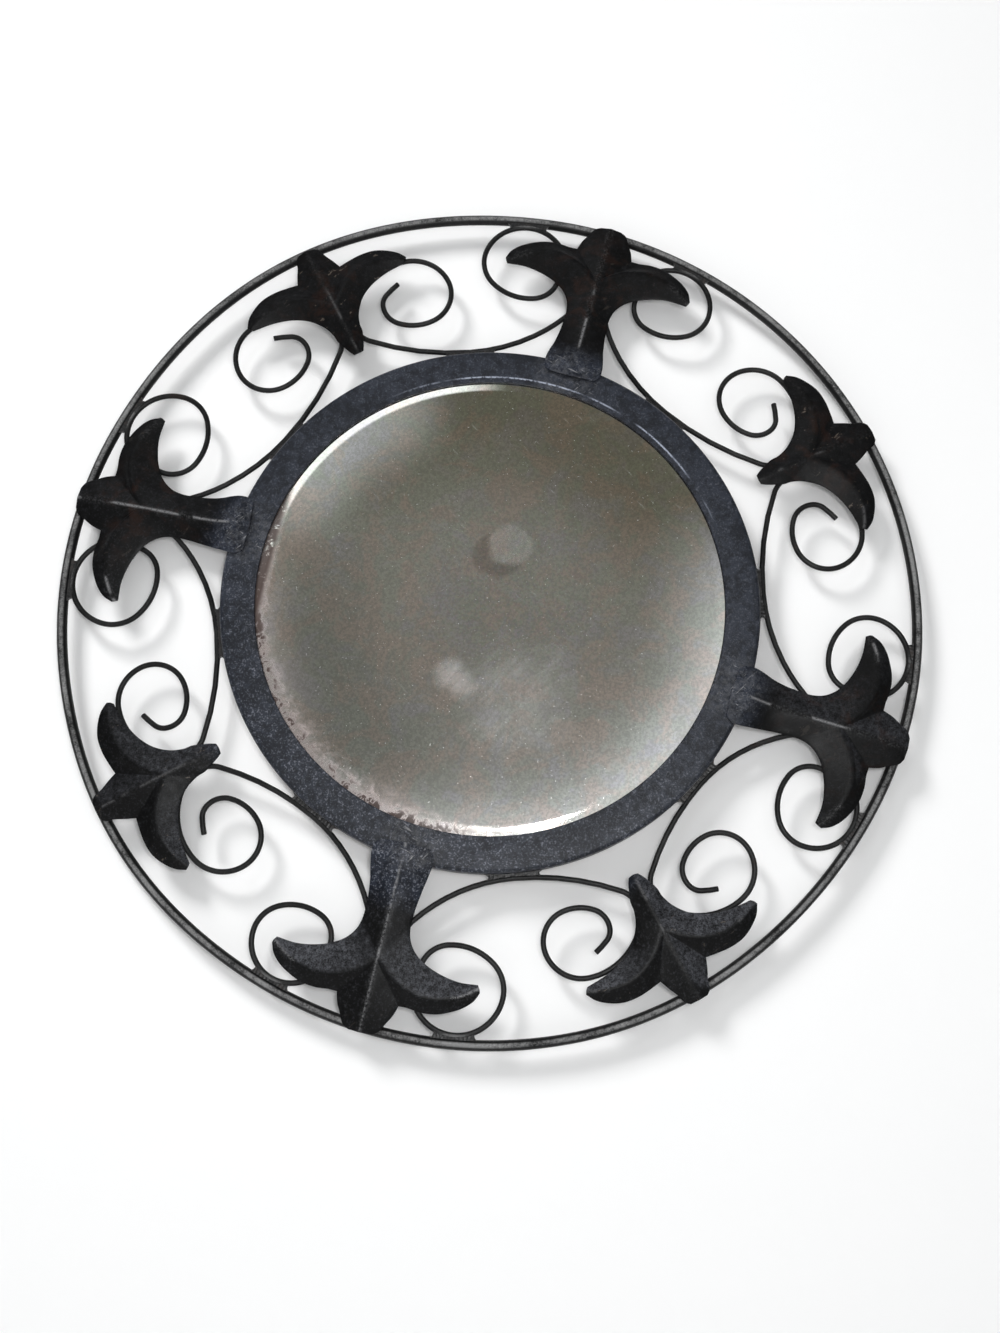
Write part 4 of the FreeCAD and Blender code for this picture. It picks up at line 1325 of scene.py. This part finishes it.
@dataclass
class Flower(Assembly):
    """A pressed fleur-de-lis of folded sheet."""

    kind: FlowerKind
    number: int
    angle: float
    lean: float
    sheet: float = 0.0012
    foot_gap: float = 0.00015
    crest_height: float = 0.0041
    ramp_end: float = 0.18
    along: int = 36
    across: int = 7
    seam: float = 2e-5
    pressing_rounds: int = 2
    swell: float = 0.00022
    swells_per_metre: float = 55.0
    edge: float = 0.0003
    # Where facets are paled by dust and painted light from above: which way they face, from what tilt, and
    # how low they hang.
    dust_way: Triple = (0.3, 0.0, 0.95)
    dust_from: float = 0.02
    dust_tilt: float = 0.16
    dusty_below: float = 0.19
    least_dust: float = 0.05

    @property
    def placing(self) -> Matrix:
        """Takes the flower from straight up to its place, leaning about its waist."""
        waist = self.layout.rim_radius + PATTERNS[self.kind].stem[-1][1] * self.layout.openwork
        return clockwise(self.angle) @ lean_about(waist, self.lean)

    def rest(self, up_share: float) -> float:
        """How far the sheet's edge stands off the wall at a height up the flower."""
        if not PATTERNS[self.kind].on_rim or up_share >= self.ramp_end:
            return self.layout.rod_diameter
        fall = max(0.0, up_share / self.ramp_end)
        ease = fall * fall * (3 - 2 * fall)
        on_face = self.layout.rim_depth + self.foot_gap
        return on_face + (self.layout.rod_diameter - on_face) * ease

    def rail(self, shares: Shares, side: int) -> list[Vector]:
        """A smooth line through share points.

        Args:
            shares: Across, up and, for a crease, its height.
            side: 1 for the right half, -1 for the left.

        Returns:
            The line's points.
        """
        lay = self.layout
        points = []
        for entry in shares:
            ridge = entry[2] if len(entry) > 2 else 0.0
            depth = self.rest(entry[1]) + ridge * self.crest_height
            across = side * entry[0] * lay.petal_span_share * lay.openwork
            points.append(at(across, depth, lay.rim_radius + entry[1] * lay.openwork))
        return smooth_line(points)

    def folded(self, mesh: Mesh) -> list[Vector]:
        """Lays the facets between the creases and the outline.

        Args:
            mesh: An empty mesh.

        Returns:
            Points along the creases that get rubbed metal and a painted highlight.
        """
        pattern = PATTERNS[self.kind]
        lit_crease_rubbing = []
        for side in (1, -1):
            edge = self.rail(pattern.stem + pattern.under, side)
            cut = SPAN_STEPS * (len(pattern.stem) - 1)
            lines = [edge[:cut + 1], edge[cut:], self.rail(pattern.over, side)[::-1]]
            for shares in (pattern.top, pattern.crest, pattern.top_crest, pattern.ridge):
                lines.append(self.rail(shares, side))
            stem, under, over, top, crest, top_crest, ridge = (
                even_steps(line, self.along) for line in lines
            )
            lit_crease_rubbing += crest + top_crest + ridge[self.along * 3 // 4:]
            for crease, border in ((crest, stem), (ridge, under), (ridge, over), (top_crest, top)):
                bridge(mesh, crease, border, self.across)
        bmesh.ops.remove_doubles(mesh, verts=mesh.verts[:], dist=self.seam)
        return lit_crease_rubbing

    def build(self, finish: Material) -> None:
        """Builds the flower where it stands in the wreath.

        Args:
            finish: Its finish.
        """
        mesh = bmesh.new()
        creases = self.folded(mesh)
        lit_crease_rubbing = mesh.verts.layers.float.new("lit_crease_rubbing")
        dust_and_painted_light = mesh.verts.layers.float.new("dust_and_painted_light")
        for vertex in mesh.verts:
            vertex[lit_crease_rubbing] = min((vertex.co - point).length_squared for point in creases) ** 0.5
        inner = [vertex for vertex in mesh.verts if not vertex.is_boundary]
        for _ in range(self.pressing_rounds):
            bmesh.ops.smooth_vert(
                mesh, verts=inner, factor=0.5, use_axis_x=False, use_axis_y=True, use_axis_z=False,
            )
        for vertex in inner:
            place = vertex.co * self.swells_per_metre + Vector((self.angle, 0.0, 0.0))
            vertex.co.y += self.swell * noise.noise(place)
        bmesh.ops.transform(mesh, matrix=self.placing, verts=mesh.verts[:])
        bmesh.ops.recalc_face_normals(mesh, faces=mesh.faces[:])
        face_viewer(mesh)
        mesh.normal_update()
        # Upward facets, most on the lower flowers, get a pale coat of dust and painted light from above.
        for vertex in mesh.verts:
            lie = (vertex.normal.dot(Vector(self.dust_way)) - self.dust_from) / self.dust_tilt
            low = min(1.0, max(self.least_dust, -vertex.co.z / self.dusty_below))
            vertex[dust_and_painted_light] = min(1.0, max(0.0, lie)) * low
        name = "fleur_" + self.kind.value + "_" + str(self.number)
        node = self.kind.value + "_flower_" + str(self.number)
        made = self.workshop.piece(name, mesh, finish, "textured_paint", node, is_open=True)
        self.workshop.solidify(made, self.sheet, 1.0)
        self.workshop.soften(made, self.edge, 60.0)


@dataclass
class ScrollWire(Assembly):
    """A C-scroll of round wire between two flowers, and the welds that hold it."""

    number: int
    follows: FlowerKind
    start: float
    finish_angle: float
    heading: float = 45.0
    loop_angle: float = 12.5
    long_waist: float = 0.303
    long_neck: Shares = ((13.0, 1.111), (62.0, 0.178))
    loop_turn: float = 150.0
    loop_share: float = 0.283
    long_curl: Shares = ((60.0, 0.233), (50.0, 0.356), (90.0, 0.189), (60.0, 0.111))
    short_waist: float = 0.110
    short_curl: Shares = (
        (80.0, 0.194), (70.0, 0.463), (75.0, 0.27), (90.0, 0.228), (45.0, 0.311), (65.0, 0.156),
        (45.0, 0.111), (10.0, 0.667),
    )
    sides: int = 14
    step: float = 5.0
    end_round: float = 0.0005
    web_depth: float = 0.0024
    web_steps: int = 48
    web_cuts: int = 7
    web_edge: float = 0.0004
    belly_web_share: float = 0.378
    ring_web_gap: float = 0.003
    wall_gap: float = 0.0001
    belly_bite: float = 0.4
    loop_bite: float = 0.3
    bar_bite: float = 0.8
    belly_hollow: float = 0.0026
    loop_hollow: float = 0.0018
    ripple_length: float = 0.0021
    ripple_height: float = 0.00013
    ripple_waver: float = 2.0
    wavers_per_metre: float = 300.0
    lump_height: float = 0.0002
    lumps_per_metre: float = 500.0

    @property
    def gap(self) -> float:
        """The angle between the scroll's two flowers."""
        return (self.finish_angle - self.start) % 360.0

    @property
    def placing(self) -> Matrix:
        """Takes the scroll from straight up, long end to the right, to its place."""
        place = clockwise(self.start + self.gap / 2)
        if self.follows is FlowerKind.LONG:
            place = place @ Matrix.Scale(-1.0, 4, (1, 0, 0))
        return place

    def belly(self, waist: float) -> float:
        """The belly's radius that brings the wire to its flower's waist at the set heading."""
        lean = math.sin(math.radians(self.gap / 2))
        reach = math.sin(math.radians(self.heading)) - lean
        return (self.layout.belly_radius * lean - waist * self.layout.openwork) / reach

    def sweep(self, mesh: Mesh, section: list[Any], state: Triple, turn: float, radius: float,
              side: int) -> tuple[list[Any], Triple]:
        """Carries the wire's section round one arc.

        Args:
            mesh: The mesh.
            section: The section's vertices and edges.
            state: Where it is and where it heads, on the right half.
            turn: The arc's turn in degrees.
            radius: The arc's radius.
            side: 1 for the right half, -1 for the left.

        Returns:
            The last section and the new state.
        """
        across, up, heading = state
        way, new_way = math.radians(heading), math.radians(heading + turn)
        middle = across - radius * math.sin(way)
        made = bmesh.ops.spin(
            mesh, geom=section, cent=at(side * middle, self.layout.wire_depth, up + radius * math.cos(way)),
            axis=(0, -side, 0), angle=math.radians(turn), steps=max(2, round(turn / self.step)),
            use_merge=False,
        )
        state = (
            middle + radius * math.sin(new_way), up - radius * (math.cos(new_way) - math.cos(way)),
            heading + turn,
        )
        return made["geom_last"], state

    def curl(self, mesh: Mesh, section: list[Any], state: Triple, arcs: Shares, size: float,
             side: int) -> None:
        """Carries the wire's section round a row of arcs and closes its cut end with a softened edge.

        Args:
            mesh: The mesh.
            section: The section's vertices and edges.
            state: Where it is and where it heads, on the right half.
            arcs: Each arc's turn in degrees and its radius as a share of the size.
            size: The curl's size.
            side: 1 for the right half, -1 for the left.
        """
        for turn, share in arcs:
            section, state = self.sweep(mesh, section, state, turn, share * size, side)
        edges = picked(section, bmesh.types.BMEdge)
        bmesh.ops.edgeloop_fill(mesh, edges=edges)
        rounded(mesh, edges, self.end_round, 3)

    def build(self, finish: Material, weld: Material) -> None:
        """Builds the scroll and its welds.

        Args:
            finish: The wire's finish.
            weld: The welds' finish.
        """
        lay = self.layout
        mesh = bmesh.new()
        circle(mesh, at(0, lay.wire_depth, lay.belly_radius), lay.wire_radius, self.sides, "Y")
        first = mesh.verts[:] + mesh.edges[:]
        start = (0.0, lay.belly_radius, 0.0)
        turn = self.heading - self.gap / 2
        section, state = self.sweep(mesh, first, start, turn, self.belly(self.long_waist), 1)
        for neck_turn, share in self.long_neck:
            section, state = self.sweep(mesh, section, state, neck_turn, share * lay.openwork, 1)
        size = lay.openwork * lay.loop_sizes[self.number - 1]
        loop = self.loop_share * size
        section, state, centre = self.run_to_ring(mesh, section, state, loop)
        section, state = self.sweep(mesh, section, state, self.loop_turn, loop, 1)
        self.curl(mesh, section, state, self.long_curl, size, 1)
        section, state = self.sweep(mesh, first, start, turn, self.belly(self.short_waist), -1)
        size = lay.openwork * lay.curl_sizes[self.number - 1]
        self.curl(mesh, section, state, self.short_curl, size, -1)
        bmesh.ops.remove_doubles(mesh, verts=mesh.verts[:], dist=MERGE)
        bmesh.ops.transform(mesh, matrix=self.placing, verts=mesh.verts[:])
        own = str(self.number)
        self.workshop.piece("scroll_wire_" + own, mesh, finish, "blackened_iron", "scroll_" + own, 60.0)
        self.belly_weld(weld)
        self.loop_weld(weld, centre, loop)

    def run_to_ring(self, mesh: Mesh, section: list[Any], state: Triple,
                    loop: float) -> tuple[list[Any], Triple, Vector]:
        """Runs the wire straight on until the loop that follows touches the outer bar.

        Args:
            mesh: The mesh.
            section: The section's vertices and edges.
            state: Where it is and where it heads.
            loop: The loop's radius.

        Returns:
            The last section, the new state and the loop's centre.
        """
        lay = self.layout
        touch = self.finish_angle - self.loop_angle
        if self.follows is FlowerKind.LONG:
            touch = self.start + self.loop_angle
        target = lay.ring_radius_at(touch) - lay.loop_inside_ring - loop
        across, up, heading = state
        way = Vector((math.cos(math.radians(heading)), math.sin(math.radians(heading))))
        centre = Vector((across - loop * way.y, up + loop * way.x))
        along = centre.dot(way)
        run = math.sqrt(along ** 2 - centre.length_squared + target ** 2) - along
        made = bmesh.ops.extrude_edge_only(mesh, edges=picked(section, bmesh.types.BMEdge))["geom"]
        moved = picked(made, bmesh.types.BMVert)
        bmesh.ops.translate(mesh, verts=moved, vec=(run * way.x, 0, run * way.y))
        ring = set(moved)
        edges = [edge for edge in picked(made, bmesh.types.BMEdge) if ring.issuperset(edge.verts)]
        state = (across + run * way.x, up + run * way.y, heading)
        return moved + edges, state, centre + way * run

    def spread(self, half: float) -> list[float]:
        """Even places across a weld, from -half to half."""
        return [half * (2 * number / self.web_steps - 1) for number in range(self.web_steps + 1)]

    def belly_weld(self, weld: Material) -> None:
        """Builds the weld between the belly and the rim's wall.

        Args:
            weld: Its finish.
        """
        lay = self.layout
        low, high = [], []
        for across in self.spread(self.belly_web_share * lay.openwork / 2):
            radius = self.belly(self.long_waist if across > 0 else self.short_waist)
            wall = math.sqrt(lay.rim_radius ** 2 - across ** 2)
            wire = lay.belly_radius + radius - math.sqrt(radius ** 2 - across ** 2)
            low.append(at(across, lay.wire_depth, wall + self.wall_gap))
            high.append(at(across, lay.wire_depth, wire - self.belly_bite * lay.wire_radius))
        self.web("belly_weld", low, high, weld, self.placing, self.belly_hollow)

    def loop_weld(self, weld: Material, centre: Vector, loop: float) -> None:
        """Builds the weld in the two corners where the loop meets the outer bar.

        Args:
            weld: Its finish.
            centre: The loop's centre.
            loop: The loop's radius.
        """
        lay = self.layout
        reach = centre.length
        bar = reach + loop + lay.loop_inside_ring
        low, high = [], []
        for across in self.spread(math.sqrt(2 * self.ring_web_gap / (1 / loop - 1 / lay.ring_radius))):
            wire = reach + math.sqrt(loop ** 2 - across ** 2)
            inside = math.sqrt(bar ** 2 - across ** 2)
            low.append(at(across, lay.wire_depth, wire + self.loop_bite * lay.wire_radius))
            high.append(at(across, lay.wire_depth, inside - self.bar_bite * lay.rod_radius))
        place = self.placing @ clockwise(math.degrees(math.atan2(centre.x, centre.y)))
        self.web("loop_weld", low, high, weld, place, self.loop_hollow)

    def web(self, name: str, low: list[Vector], high: list[Vector], weld: Material, place: Matrix,
            hollow: float) -> None:
        """Builds one weld as a rippled web between two bars.

        Args:
            name: The weld's name, without its number.
            low: The line along the inner bar.
            high: The line along the outer bar.
            weld: Its finish.
            place: Takes it to its place.
            hollow: How deep its ends are hollowed.
        """
        mesh = bmesh.new()
        bridge(mesh, low, high, self.web_cuts)
        half = low[-1].x
        for vertex in mesh.verts:
            spot = vertex.co
            base, roof = (min(line, key=lambda point: abs(point.x - spot.x)).z for line in (low, high))
            rise = (spot.z - base) / max(roof - base, MERGE)
            near_end = max(0.0, 2.0 * abs(spot.x) / half - 1.0)
            spot.x -= math.copysign(hollow * 4.0 * rise * (1.0 - rise) * near_end ** 3, spot.x)
        for vertex in mesh.verts:
            waver = self.ripple_waver * noise.noise(vertex.co * self.wavers_per_metre)
            ripple = self.ripple_height * math.sin(FULL_TURN * vertex.co.x / self.ripple_length + waver)
            lump = self.lump_height * noise.noise(vertex.co * self.lumps_per_metre)
            vertex.co.y -= self.web_depth / 2 + ripple + lump
        thickened(mesh, mesh.faces[:], TOWARDS_VIEWER * -self.web_depth)
        bmesh.ops.transform(mesh, matrix=place, verts=mesh.verts[:])
        made = self.workshop.piece(name + "_" + str(self.number), mesh, weld, "weld_bead", name + "s", 50.0)
        self.workshop.soften(made, self.web_edge, 60.0)


@dataclass
class PetalTack:
    """The tack weld behind a flower's middle petal, in the corner at the outer bar."""

    flower: Flower
    number: int
    width: float = 0.0086
    reach: float = 0.0042
    half_depth: float = 0.0016
    sunk: float = 0.0004
    over_bar: float = 0.3
    lump: float = 0.12
    lump_pitch: float = 2.2

    def build(self, finish: Material) -> None:
        """Builds the tack.

        Args:
            finish: Its finish.
        """
        lay = self.flower.layout
        mesh = bmesh.new()
        bmesh.ops.create_icosphere(mesh, subdivisions=3, radius=1.0)
        size = Vector((self.width / 2, self.half_depth, self.reach / 2))
        for vertex in mesh.verts:
            place = vertex.co * self.lump_pitch + Vector((self.flower.angle, 0, 0))
            vertex.co = vertex.co * size * (1.0 + self.lump * noise.noise(place))
        up = lay.ring_radius - lay.rod_radius - self.over_bar * self.reach
        middle = Matrix.Translation(at(0, lay.rod_diameter - self.sunk, up))
        bmesh.ops.transform(mesh, matrix=self.flower.placing @ middle, verts=mesh.verts[:])
        name = "petal_tack_" + str(self.number)
        self.flower.workshop.piece(name, mesh, finish, "weld_bead", "petal_welds", 80.0)


# The room


@dataclass(frozen=True)
class Lamp:
    """A soft round lamp that faces the mirror; one that shines makes highlights."""

    name: str
    place: Triple
    width: float
    watts: float
    shines: bool = False

    def hang(self) -> None:
        """Hangs the lamp."""
        data = bpy.data.lights.new(self.name, "AREA")
        data.shape = "DISK"
        data.size = self.width
        data.energy = self.watts
        made = bpy.data.objects.new(self.name, data)
        made.location = self.place
        made.rotation_euler = (-Vector(self.place)).to_track_quat("-Z", "Y").to_euler()
        made.visible_glossy = self.shines
        bpy.context.scene.collection.objects.link(made)


@dataclass(frozen=True)
class Reflection:
    """One thing that the glass sees on the card.

    It lies at an angle in degrees clockwise, and spans cosines around that angle and shares of the
    sight outward.
    """

    colour: Colour
    amount: float
    angle: float
    around: tuple[float, float]
    outward: tuple[float, float]
    ragged: float = 0.0


@dataclass
class Studio:
    """A pale wall and floor, soft lamps and the camera."""

    wall_behind: float = 0.007
    floor_under: float = 1.1
    stage: Triple = (6.0, 5.0, 6.0)
    pale: Colour = (0.93, 0.93, 0.93)
    room: Colour = (0.98, 0.99, 1.0)
    room_strength: float = 0.17
    wall_glow: float = 0.045
    card_middle: tuple[float, float] = (0.2, 1.15)
    card_size: tuple[float, float] = (3.4, 3.9)
    card_away: float = 3.0
    card_grey: Colour = (0.300, 0.294, 0.272)
    card_brown: Colour = (0.176, 0.166, 0.132)
    card_far: Colour = (0.94, 0.96, 0.98)
    sight_middle: float = 0.855
    sight_reach: float = 0.66
    near_things: tuple[Reflection, ...] = (
        Reflection((0.42, 0.42, 0.41), 0.50, 178.0, (0.25, 0.95), (0.25, 0.7)),
        Reflection((0.190, 0.195, 0.180), 0.75, 246.0, (0.45, 0.98), (0.35, 0.75)),
        Reflection((0.46, 0.42, 0.39), 0.45, 278.0, (0.70, 0.98), (0.78, 0.98)),
        Reflection((0.68, 0.71, 0.72), 0.85, 135.0, (0.20, 0.85), (0.62, 1.02), 0.12),
        Reflection((0.98, 1.01, 1.05), 0.80, 148.0, (0.25, 0.95), (0.80, 1.0), 0.16),
        Reflection((0.72, 0.76, 0.76), 0.85, 318.0, (0.84, 0.995), (0.68, 0.99)),
    )
    crescent: Reflection = Reflection((1.9, 1.95, 2.0), 1.0, 319.0, (0.70, 0.86), (1.3, 1.8))
    lamps: tuple[Lamp, ...] = (
        Lamp("key_lamp", (-1.62, -1.70, 2.27), 0.95, 82.0),
        Lamp("back_lamp", (0.0, 3.0, 0.0), 1.0, 50.0),
        Lamp("flash_lamp", (0.09, -0.86, -0.17), 0.13, 1.85, shines=True),
    )
    camera_place: Triple = (0.00062, -0.7883, -0.2254)
    camera_right: Triple = (0.99998, -0.00635, 0.0)
    camera_up: Triple = (-0.00148, -0.23231, 0.97264)
    camera_back: Triple = (-0.00618, -0.97262, -0.23232)
    camera_lens: float = 37.45
    camera_film: float = 36.0
    camera_nearest: float = 0.01

    def sheet(self, name: str, size: tuple[float, float], place: Vector, material: Material,
              upright: bool = True) -> bpy.types.Object:
        """Adds a flat stage piece.

        Args:
            name: Its name.
            size: Its width and height.
            place: Its middle.
            material: Its finish.
            upright: Whether it stands, and doesn't lie.

        Returns:
            The stage piece.
        """
        mesh = bmesh.new()
        bmesh.ops.create_grid(mesh, x_segments=1, y_segments=1, size=0.5)
        bmesh.ops.scale(mesh, vec=(*size, 1.0), verts=mesh.verts[:])
        turn = Matrix.Rotation(QUARTER_TURN if upright else 0.0, 4, "X")
        bmesh.ops.transform(mesh, matrix=Matrix.Translation(place) @ turn, verts=mesh.verts[:])
        data = bpy.data.meshes.new(name)
        mesh.to_mesh(data)
        mesh.free()
        data.materials.append(material)
        made = bpy.data.objects.new(name, data)
        bpy.context.scene.collection.objects.link(made)
        return made

    def one_sided(self) -> Material:
        """Builds the wall's plain pale paint, clear from behind and a little brighter to the camera."""
        material = bpy.data.materials.new("studio_wall")
        graph = Graph(material)
        path = graph.add("ShaderNodeLightPath", {}, {}).outputs
        camera, glossy, through = (
            Value(graph, path["Is " + ray + " Ray"]) for ray in ("Camera", "Glossy", "Transmission")
        )
        strength = (camera + glossy + through) * self.wall_glow
        front = graph.shader("ShaderNodeBsdfDiffuse", {"Color": self.pale})
        own = graph.shader("ShaderNodeEmission", {"Color": self.pale, "Strength": strength})
        lit = graph.shader("ShaderNodeAddShader", {0: front, 1: own})
        behind = graph.value("ShaderNodeNewGeometry", "Backfacing", {}, {})
        clear = graph.shader("ShaderNodeBsdfTransparent", {})
        graph.close(graph.shader("ShaderNodeMixShader", {0: behind, 1: lit, 2: clear}))
        return material

    def plain(self) -> Material:
        """Builds the floor's plain pale paint."""
        material = bpy.data.materials.new("studio_floor")
        graph = Graph(material)
        graph.close(graph.shader("ShaderNodeBsdfPrincipled", {"Base Color": self.pale, "Roughness": 0.9}))
        return material

    def towards(self, graph: Graph, away: Value, angle: float) -> Value:
        """How nearly a point of the card lies at an angle, 1 being straight at it.

        Args:
            graph: The card's graph.
            away: The point as seen from the middle of the sight.
            angle: Degrees clockwise from straight up.

        Returns:
            The cosine of the angle between the two.
        """
        turn = math.radians(angle)
        way = (math.sin(turn), 0.0, math.cos(turn))
        return graph.dot(away, way) / graph.length(away).at_least(0.001)

    def seen(self, graph: Graph, away: Value, waver: Value, thing: Reflection, colour: Value) -> Value:
        """Lays one of the things that the glass sees over the card's colour.

        Args:
            graph: The card's graph.
            away: The point as seen from the middle of the sight.
            waver: Noise about 0.
            thing: The thing.
            colour: The colour so far.

        Returns:
            The new colour.
        """
        out = graph.length(away) / self.sight_reach + waver * thing.ragged
        near = self.towards(graph, away, thing.angle).step(*thing.around)
        return graph.mix(near * out.step(*thing.outward) * thing.amount, colour, thing.colour)

    def card(self) -> Material:
        """Builds the dim card across the room that the glass looks at.

        It is grey in the middle, brown above, and glows softly to the right, below and upper left,
        where the glass's edge and its bevel look.
        """
        material = bpy.data.materials.new("studio_card")
        graph = Graph(material)
        place = graph.place()
        sight = (0.0, -self.card_away, self.sight_middle)
        away = graph.vector("SUBTRACT", place, sight, "Vector")
        out = graph.length(away) / self.sight_reach
        waver = graph.noise(place, 0.55, 4.0, 0.6, 0.6) - 0.5
        above = self.towards(graph, away, 10.0).step(-0.3, 0.95) * out.step(0.15, 0.95) + waver * 0.6
        colour = graph.mix(above.step(0.0, 1.0), self.card_grey, self.card_brown)
        for thing in self.near_things:
            colour = self.seen(graph, away, waver, thing, colour)
        far = self.towards(graph, away, 150.0).step(0.05, 0.95) * 0.95 + waver * 0.2
        colour = graph.mix(out.step(1.1, 2.1) * far.at_least(0.0), colour, self.card_far)
        colour = self.seen(graph, away, waver, self.crescent, colour)
        graph.close(graph.shader("ShaderNodeEmission", {"Color": colour, "Strength": 1.0}))
        return material

    def camera(self) -> None:
        """Sets the camera up where the photograph was taken from."""
        data = bpy.data.cameras.new("camera")
        data.lens = self.camera_lens
        data.sensor_width = self.camera_film
        data.sensor_fit = "AUTO"
        data.clip_start = self.camera_nearest
        made = bpy.data.objects.new("camera", data)
        axes = Matrix((self.camera_right, self.camera_up, self.camera_back)).transposed().to_4x4()
        made.matrix_world = Matrix.Translation(self.camera_place) @ axes
        bpy.context.scene.collection.objects.link(made)
        bpy.context.scene.camera = made

    def build(self) -> None:
        """Sets up the room."""
        scene = bpy.context.scene
        scene.view_settings.view_transform = "Standard"
        scene.world = bpy.data.worlds.new("room")
        graph = Graph(scene.world)
        sky = {"Color": self.room, "Strength": self.room_strength}
        graph.close(graph.shader("ShaderNodeBackground", sky), "World")
        width, height, depth = self.stage
        floor = Vector((0, 0, -self.floor_under))
        wall_place = floor + Vector((0, self.wall_behind, height / 2))
        wall = self.sheet("studio_wall", (width, height), wall_place, self.one_sided())
        wall.visible_shadow = False
        wall.visible_diffuse = False
        self.sheet("studio_floor", (width, depth), floor, self.plain(), upright=False)
        card_place = Vector((self.card_middle[0], -self.card_away, self.card_middle[1]))
        card = self.sheet("studio_card", self.card_size, card_place, self.card())
        card.visible_camera = False
        for lamp in self.lamps:
            lamp.hang()
        self.camera()


def main() -> None:
    """Builds the mirror and its room, and reports each piece."""
    logging.basicConfig(level=logging.INFO, format="%(message)s")
    layout = Layout()
    workshop = Workshop()
    feet = layout.spots(layout.long_angles, layout.rim_radius - layout.rim_face / 2, layout.scratched_reach)
    petals = layout.rim_radius + layout.rusty_share * layout.openwork
    rusty = layout.spots(layout.rusty_angles, petals, layout.rusty_reach)
    rim_paint = TexturedPaint("rim_paint", RIM_PAINT, feet, lip_line=layout.lip_line).build()
    flower_paint = {
        kind: TexturedPaint(
            kind.value + "_flower_paint", FLOWER_PAINT, feet, rusty, layout.rim_radius, wear, chips,
        ).build()
        for kind, (wear, chips) in FLOWER_AGES.items()
    }
    iron = BlackenedIron("blackened_iron_finish", layout.ring_radius, layout.rod_diameter).build()
    weld = WeldMetal().build()
    OuterBar(layout, workshop).build(iron)
    MirrorRim(layout, workshop).build(rim_paint)
    glass = MirrorGlass(layout, workshop)
    glass.build(MirrorSilver().build())
    board = BackingBoard(layout, workshop, glass)
    board.build(Hardboard().build())
    RetainingClips(layout, workshop, board).build(ZincSteel().build())
    HangerPlate(layout, workshop, board).build(rim_paint)
    flowers = []
    for number in range(len(layout.long_angles)):
        for kind, angles, leans in (
            (FlowerKind.LONG, layout.long_angles, layout.long_leans),
            (FlowerKind.SHORT, layout.short_angles, layout.short_leans),
        ):
            flowers.append(Flower(layout, workshop, kind, number + 1, angles[number], leans[number]))
    for number, (flower, following) in enumerate(zip(flowers, flowers[1:] + flowers[:1]), 1):
        flower.build(flower_paint[flower.kind])
        PetalTack(flower, number).build(weld)
        ScrollWire(layout, workshop, number, flower.kind, flower.angle, following.angle).build(iron, weld)
    Studio().build()


if __name__ == "__main__":
    main()
